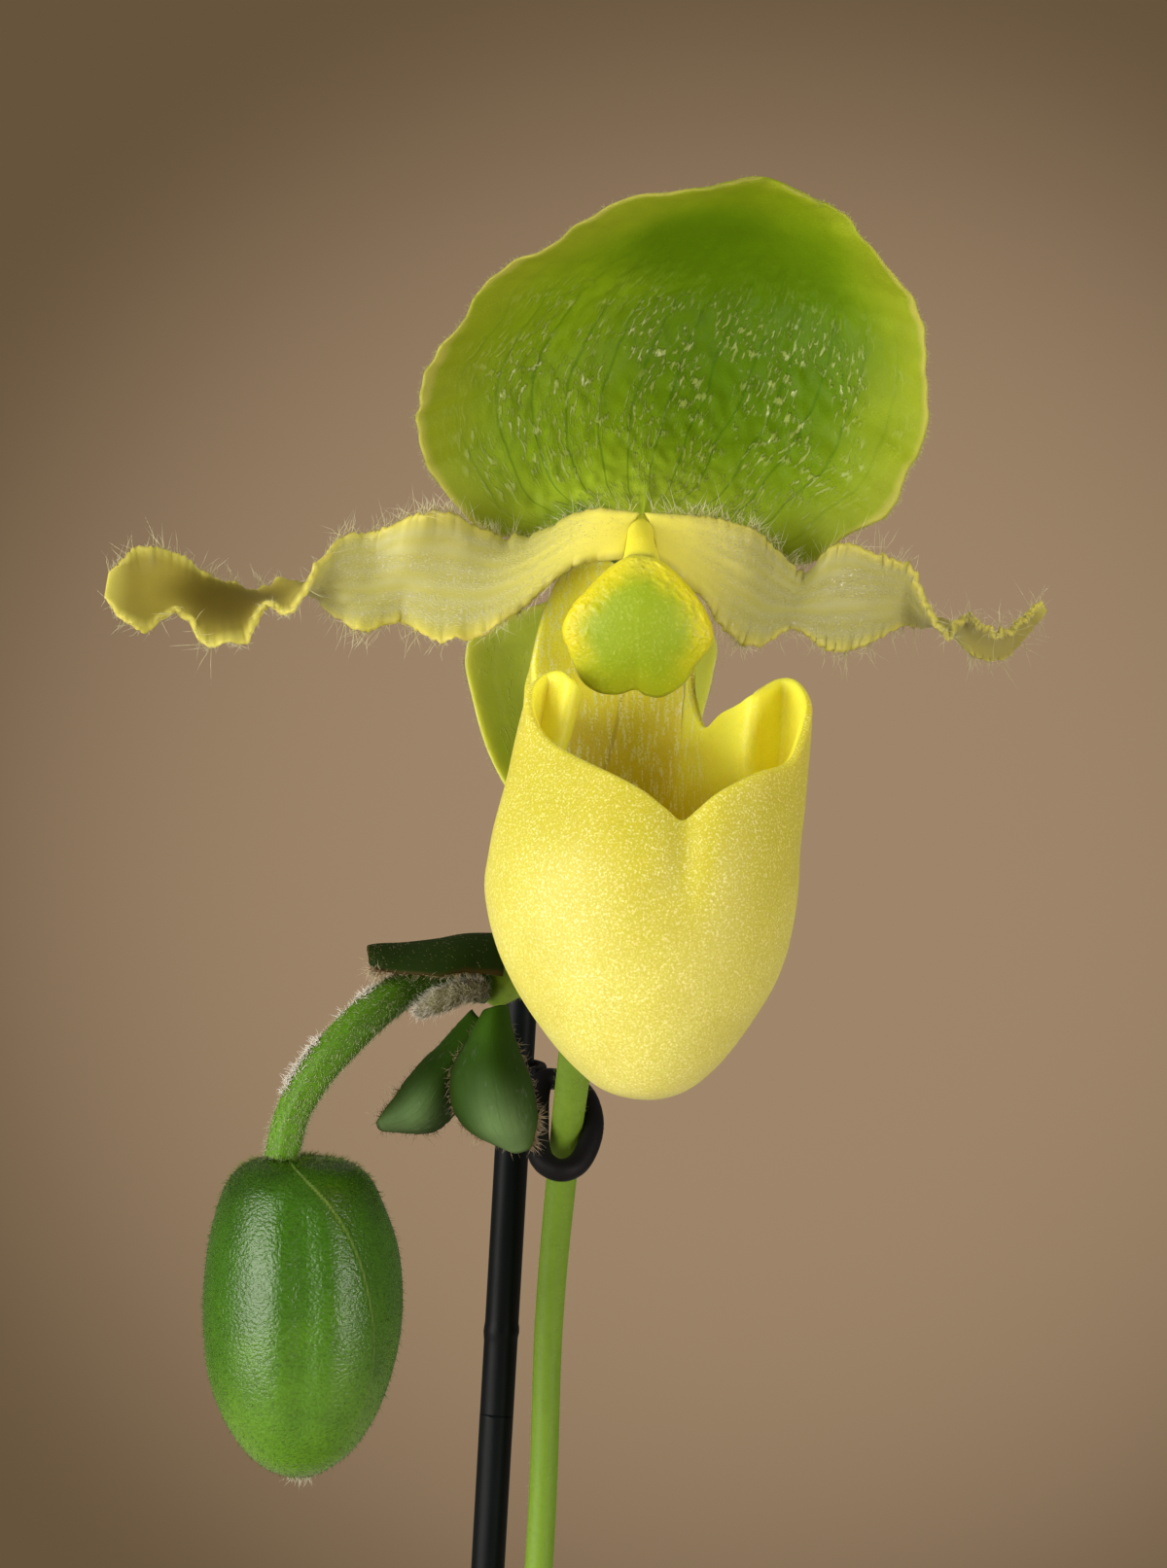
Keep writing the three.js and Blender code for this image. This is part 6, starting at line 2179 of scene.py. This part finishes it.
@dataclass
class Bracts:
    """The dark boat-shaped bracts with their fringes, and the woolly young tip between them."""

    thickness: float = 0.65
    crumb_count: int = 4200
    wool_side: Row = (-0.85, 0.0, 0.6)
    upper: Rails = Rails(
        left=(
            (-11.6, 2.6, -36.4), (-14.7, 1, -35.9), (-17.1, 0, -36.1),
            (-20.1, 1, -36), (-22, 2, -35.8), (-22.7, 2.8, -35.7),
        ),
        middle=(
            (-11.2, 7.4, -33.6), (-14.6, 6.4, -33.5), (-17.2, 6, -33.9),
            (-20, 5.8, -34.2), (-22, 5, -34.2), (-23.1, 4.4, -34.3),
        ),
        right=(
            (-11.6, 11.4, -37), (-14.9, 11, -37.2), (-17.4, 10.6, -37.2),
            (-20.4, 9, -36.6), (-22.1, 6.9, -36), (-22.7, 6, -35.8),
        ),
    )
    lower_front: Rails = Rails(
        left=(
            (-13.1, 3, -39.3), (-14.4, 3.4, -41.6), (-15.9, 3, -44.3),
            (-16, 3, -47), (-14.6, 3, -49.4), (-10.6, 3, -51.2),
        ),
        middle=(
            (-12.3, 2.5, -38.9), (-12.6, 0.4, -41.6), (-12.4, -1.6, -44),
            (-12, -1.7, -46.6), (-11.4, -0.8, -49), (-10.3, 2, -51.2),
        ),
        right=(
            (-11.3, 4.2, -39), (-10.6, 3.6, -42), (-9.6, 3, -44.3),
            (-8.9, 3, -46.8), (-8.8, 3, -49), (-9.4, 3, -51.1),
        ),
    )
    lower_back: Rails = Rails(
        left=(
            (-14.3, 8.4, -39.9), (-16.9, 7.4, -42.7), (-19, 7, -44.7),
            (-20.6, 7, -46.9), (-22.3, 6.7, -49.5),
        ),
        middle=(
            (-13.3, 6.6, -40.6), (-15.9, 4.6, -43.8), (-17.6, 3.2, -46.4),
            (-19.4, 3.6, -48.4), (-22.3, 6.5, -49.7),
        ),
        right=(
            (-12.3, 8.6, -40.6), (-14.4, 7.4, -45), (-15.4, 7.2, -48.2),
            (-17.8, 7.2, -50.2), (-22.2, 6.8, -49.9),
        ),
    )
    flower: Rails = Rails(
        left=((-7.4, 18, -36), (-8.2, 19.4, -31), (-7.4, 21.2, -26), (-4.6, 24, -21.4)),
        middle=((-4.4, 20.6, -37.6), (-4.2, 23.6, -32), (-3.8, 25.2, -26.4), (-3.5, 25.4, -21)),
        right=((-1.4, 18.6, -36), (-0.2, 19.6, -31), (-0.4, 21.2, -26), (-2.6, 24, -21.4)),
    )
    woolly_rows: Rows = (
        (-13.2, 4.2, -37.7, 0.8), (-14.8, 1.8, -37.5, 0.85),
        (-16.8, 0.4, -38.2, 0.9), (-18.9, 0, -39.2, 0.3),
    )
    finish: Tissue = Tissue(
        "dark bract tissue", body="#26400a", margin="#243408", base="#34560c", vein="#26400a",
        back="#2e4a10", end="#3a5418", bloom="#6e8a58", bloom_share=0.7, veins=5, vein_width=0.1,
        vein_share=0.15, vein_depth=0.01, base_until=0.4, half_width=4, length=11, grain=0.28,
        roughness=0.7, specular=0.12, through=0.05, cloud=0.2,
    )
    # The upper bract takes a darker copy of the finish, as painted shade.
    shaded: Tissue = replace(
        finish, name="dark upper bract tissue", body="#1c2c08", margin="#3a3012", base="#2c4410",
        vein="#1c2c06", back="#1c2c08", end="#22300c", bloom="", vein_width=0.2, vein_share=0.3,
        vein_depth=0.02, margin_from=0.93, specular=0.1, cloud=0.15,
    )
    fringe: HairTissue = HairTissue("bract fringe", "#8a6a3c", "#d8ccb2")
    wool: HairTissue = HairTissue("white wool", "#a8a08c", "#dcd6ca")
    crumbs: HairTissue = HairTissue("white wool crumbs", "#c4beb0", "#efebe2")
    felt: HideTissue = HideTissue(
        "woolly felt", "#6c6a4c", "#84805f", "#3c4a20", peel_mm=0.25, depth=0.2, roughness=0.9,
        specular=0.1,
    )

    def build(self, stalk: Tube) -> None:
        """Makes the bracts, their fringes, the woolly tip and the wool that clings to the bud stalk.

        Args:
            stalk: The bud stalk's bar.
        """
        fringes = []
        plan = (
            ("bract_upper", self.upper, self.shaded, 120, 101),
            ("bract_lower_front", self.lower_front, self.finish, 190, 103),
            ("bract_lower_back", self.lower_back, self.finish, 130, 105),
            ("flower_bract", self.flower, self.finish, 90, 107),
        )
        for name, rails, finish, count, seed in plan:
            edge = Margin(rails, waves=4, height=0.04, crinkle=0.03, crinkle_size=0.05, seed=seed)
            sheet = Sheet(edge, self.thickness, 60, 40)
            dress(f"{name}_blade", [sheet.shell()], finish, [name])
            fine = Hairs((0.3, 0.9), 0.02, 0.35, seed)
            down = Hairs((0.12, 0.25), 0.01, 0.3, seed + 1)
            bristles = Hairs((0.7, 1.5), 0.034, 0.3, seed + 2)
            fringes += [
                margin_hairs(sheet, count, fine, 0.5, (0.1, 1.0)),
                margin_hairs(sheet, 150, bristles, 0.5, (0.72, 1.0)),
                face_hairs(sheet, 320, down, ((0.1, 0.98), (-0.95, 0.95)), -1, 0.8),
            ]
        dress("bract_fringes", fringes, self.fringe)

        def lumps(_: Array, __: Array, point: Array) -> Array:
            """The uneven surface of the felt."""
            return 0.15 * ripple(point, 1.2, 111)

        tip = Tube(moved(self.woolly_rows), 10, 20, relief=lumps)
        dress("rachis_tip_core", [tip.shell()], self.felt, ["rachis_tip"])
        coat = stalk_hairs(tip, 2600, Hairs((0.25, 0.6), 0.02, 0.6, seed=113, segments=3), 1.6)
        dress("woolly_down", [coat], self.wool)
        dress("stalk_wool", [self.clinging_wool(stalk)], self.crumbs)

    def clinging_wool(self, stalk: Tube) -> Shell:
        """Crumbs of wool, in clumps on the side of the bud stalk that looks up and to the left.

        Args:
            stalk: The bud stalk's bar.

        Returns:
            The strands.
        """
        draw = np.random.default_rng(115)
        t = draw.uniform(0.2, 0.8, self.crumb_count)
        clump = ripple(np.stack([t, 0 * t], -1), 0.12, 117)
        keep = draw.uniform(-0.5, 1.1, self.crumb_count) < clump
        stray = 0.25 * draw.normal(size=self.crumb_count)
        _, _, _, side, up = stalk.frame(t)
        toward = unit(np.array(self.wool_side))
        bearing = np.arctan2(up @ toward, side @ toward) + stray
        roots, out = stalk.at(t[keep], bearing[keep])
        heading = out + draw.normal(size=(keep.sum(), 3))
        return Hairs((0.12, 0.3), 0.05, 1.2, seed=119, segments=3).shell(roots + 0.05 * out, heading)


@dataclass
class Crown:
    """The rootstock and roots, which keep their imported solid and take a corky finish."""

    finish: HideTissue = HideTissue(
        "corky root coat", "#a8996f", "#c4b68c", "#6f6a3c", peel_mm=0.8, depth=0.15,
        roughness=0.8, specular=0.2,
    )

    def build(self) -> None:
        """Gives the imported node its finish."""
        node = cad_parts["crown_and_roots"]
        node.data.materials.clear()
        node.data.materials.append(self.finish.material())


@dataclass
class Studio:
    """A pale floor, a tan surround, soft lights and the camera of the photograph.

    The camera stands in front of the flower, a little above it, and looks down by a few degrees.
    """

    camera_from_flower: tuple[float, float, float] = (-4.84, -479.9, 22.03)
    camera_pitch: float = 5.0
    lens_mm: float = 132.8
    sensor_mm: float = 36.0
    floor_radius: float = 1500.0
    floor_centre: tuple[float, float] = (0.0, -700.0)
    # The surround's painted pool of light: lighter tan at its middle, darker toward its edge.
    centre_tan: str = "#9f866a"
    edge_tan: str = "#67543d"
    spot_aside: float = 0.027
    spot_pitch: float = 5.9
    spot_spread: float = 9.5
    even_grey: str = "#dccfb8"
    even_strength: float = 0.24

    def camera(self) -> None:
        """Places the camera."""
        data = bpy.data.cameras.new("camera")
        data.lens = self.lens_mm
        data.sensor_width = self.sensor_mm
        data.clip_start = 0.01
        camera = bpy.data.objects.new("camera", data)
        camera.location = Vector((FLOWER + np.array(self.camera_from_flower)) * MM)
        camera.rotation_euler = (np.radians(90 - self.camera_pitch), 0, 0)
        bpy.context.scene.collection.objects.link(camera)
        bpy.context.scene.camera = camera

    def softbox(
        self, name: str, place: Row, target: Row, size: Row, watts: float, tint: str, shines: bool = True
    ) -> None:
        """An area light that faces a point; places are millimetres from the flower.

        Args:
            name: The light's name.
            place: Its centre.
            target: The point it faces.
            size: Its width and height.
            watts: Its power.
            tint: Its colour.
            shines: Whether it shows as a highlight on glossy pieces.
        """
        data = bpy.data.lights.new(name, "AREA")
        data.shape = "RECTANGLE"
        data.size, data.size_y = size[0] * MM, size[1] * MM
        data.energy = watts
        data.color = linear(tint)[:3]
        light = bpy.data.objects.new(name, data)
        start = Vector((FLOWER + np.array(place)) * MM)
        end = Vector((FLOWER + np.array(target)) * MM)
        light.location = start
        light.visible_glossy = shines
        light.rotation_euler = (end - start).to_track_quat("-Z", "Y").to_euler()
        bpy.context.scene.collection.objects.link(light)

    def lights(self) -> None:
        """A large soft key from the left, a fill from the right, and a soft top and back light."""
        warm = "#fffaf2"
        self.softbox("key", (-620, -460, 0), (0, 0, -20), (720, 600), 8.4, warm)
        self.softbox("fill", (640, -560, -60), (0, 0, -30), (340, 420), 3.4, "#fff8ee")
        self.softbox("top", (-60, -200, 700), (0, 0, 0), (600, 400), 2.0, warm, False)
        self.softbox("back", (300, 700, 400), (0, 0, -60), (500, 500), 2.4, warm, False)

    def floor(self) -> None:
        """A thin pale disc under the pot."""
        low, top = -4, -0.05
        wide = self.floor_radius
        disc = turned([(0, low), (wide, low), (wide, top), (0, top)], 96)
        disc.points[:, :2] += np.array(self.floor_centre)
        floor = make_mesh("studio_floor", disc)
        floor.data.polygons.foreach_set("use_smooth", np.zeros(len(floor.data.polygons), bool))
        floor.data.materials.append(PaleFloor().material())

    def surround(self) -> None:
        """Tan all round, with a painted pool of light in one direction; what lights the part is an even
        grey.
        """
        world = bpy.data.worlds.new("tan surround")
        bpy.context.scene.world = world
        world.use_nodes = True
        g = Graph(world.node_tree)
        direction = g.add("TexCoord").outputs["Generated"]
        pitch = np.radians(self.spot_pitch)
        ahead = (self.spot_aside, float(np.cos(pitch)), float(-np.sin(pitch)))
        facing = g.add("VectorMath", {0: direction, 1: ahead}, operation="DOT_PRODUCT").outputs["Value"]
        spot = g.ramp(facing, float(np.cos(np.radians(self.spot_spread))), 1.0)
        tan = g.tinted(linear(self.edge_tan), (spot, self.centre_tan))
        seen = g.add("Background", {"Color": tan, "Strength": 1.0}).outputs[0]
        grey = {"Color": linear(self.even_grey), "Strength": self.even_strength}
        even = g.add("Background", grey).outputs[0]
        camera_ray = g.add("LightPath").outputs["Is Camera Ray"]
        both = g.add("MixShader", {0: camera_ray, 1: even, 2: seen}).outputs[0]
        g.add("OutputWorld", {"Surface": both})

    def build(self) -> None:
        """Sets the stage."""
        self.camera()
        self.lights()
        self.floor()
        self.surround()
        bpy.context.scene.view_settings.view_transform = "Standard"


def main() -> None:
    """Builds every piece in order and the studio round them."""
    pot = Pot()
    pot.build()
    PottingMix().build(pot)
    Crown().build()
    LeafFan().build()
    stalks = Stalks()
    stalks.build()
    StakeAndClip().build()
    Sepals().build()
    Petals().build()
    Lip().build()
    Column().build()
    Bud().build()
    Bracts().build(stalks.bud_stalk())
    Studio().build()


if __name__ == "__main__":
    logging.basicConfig(level=logging.INFO, format="%(message)s")
    main()
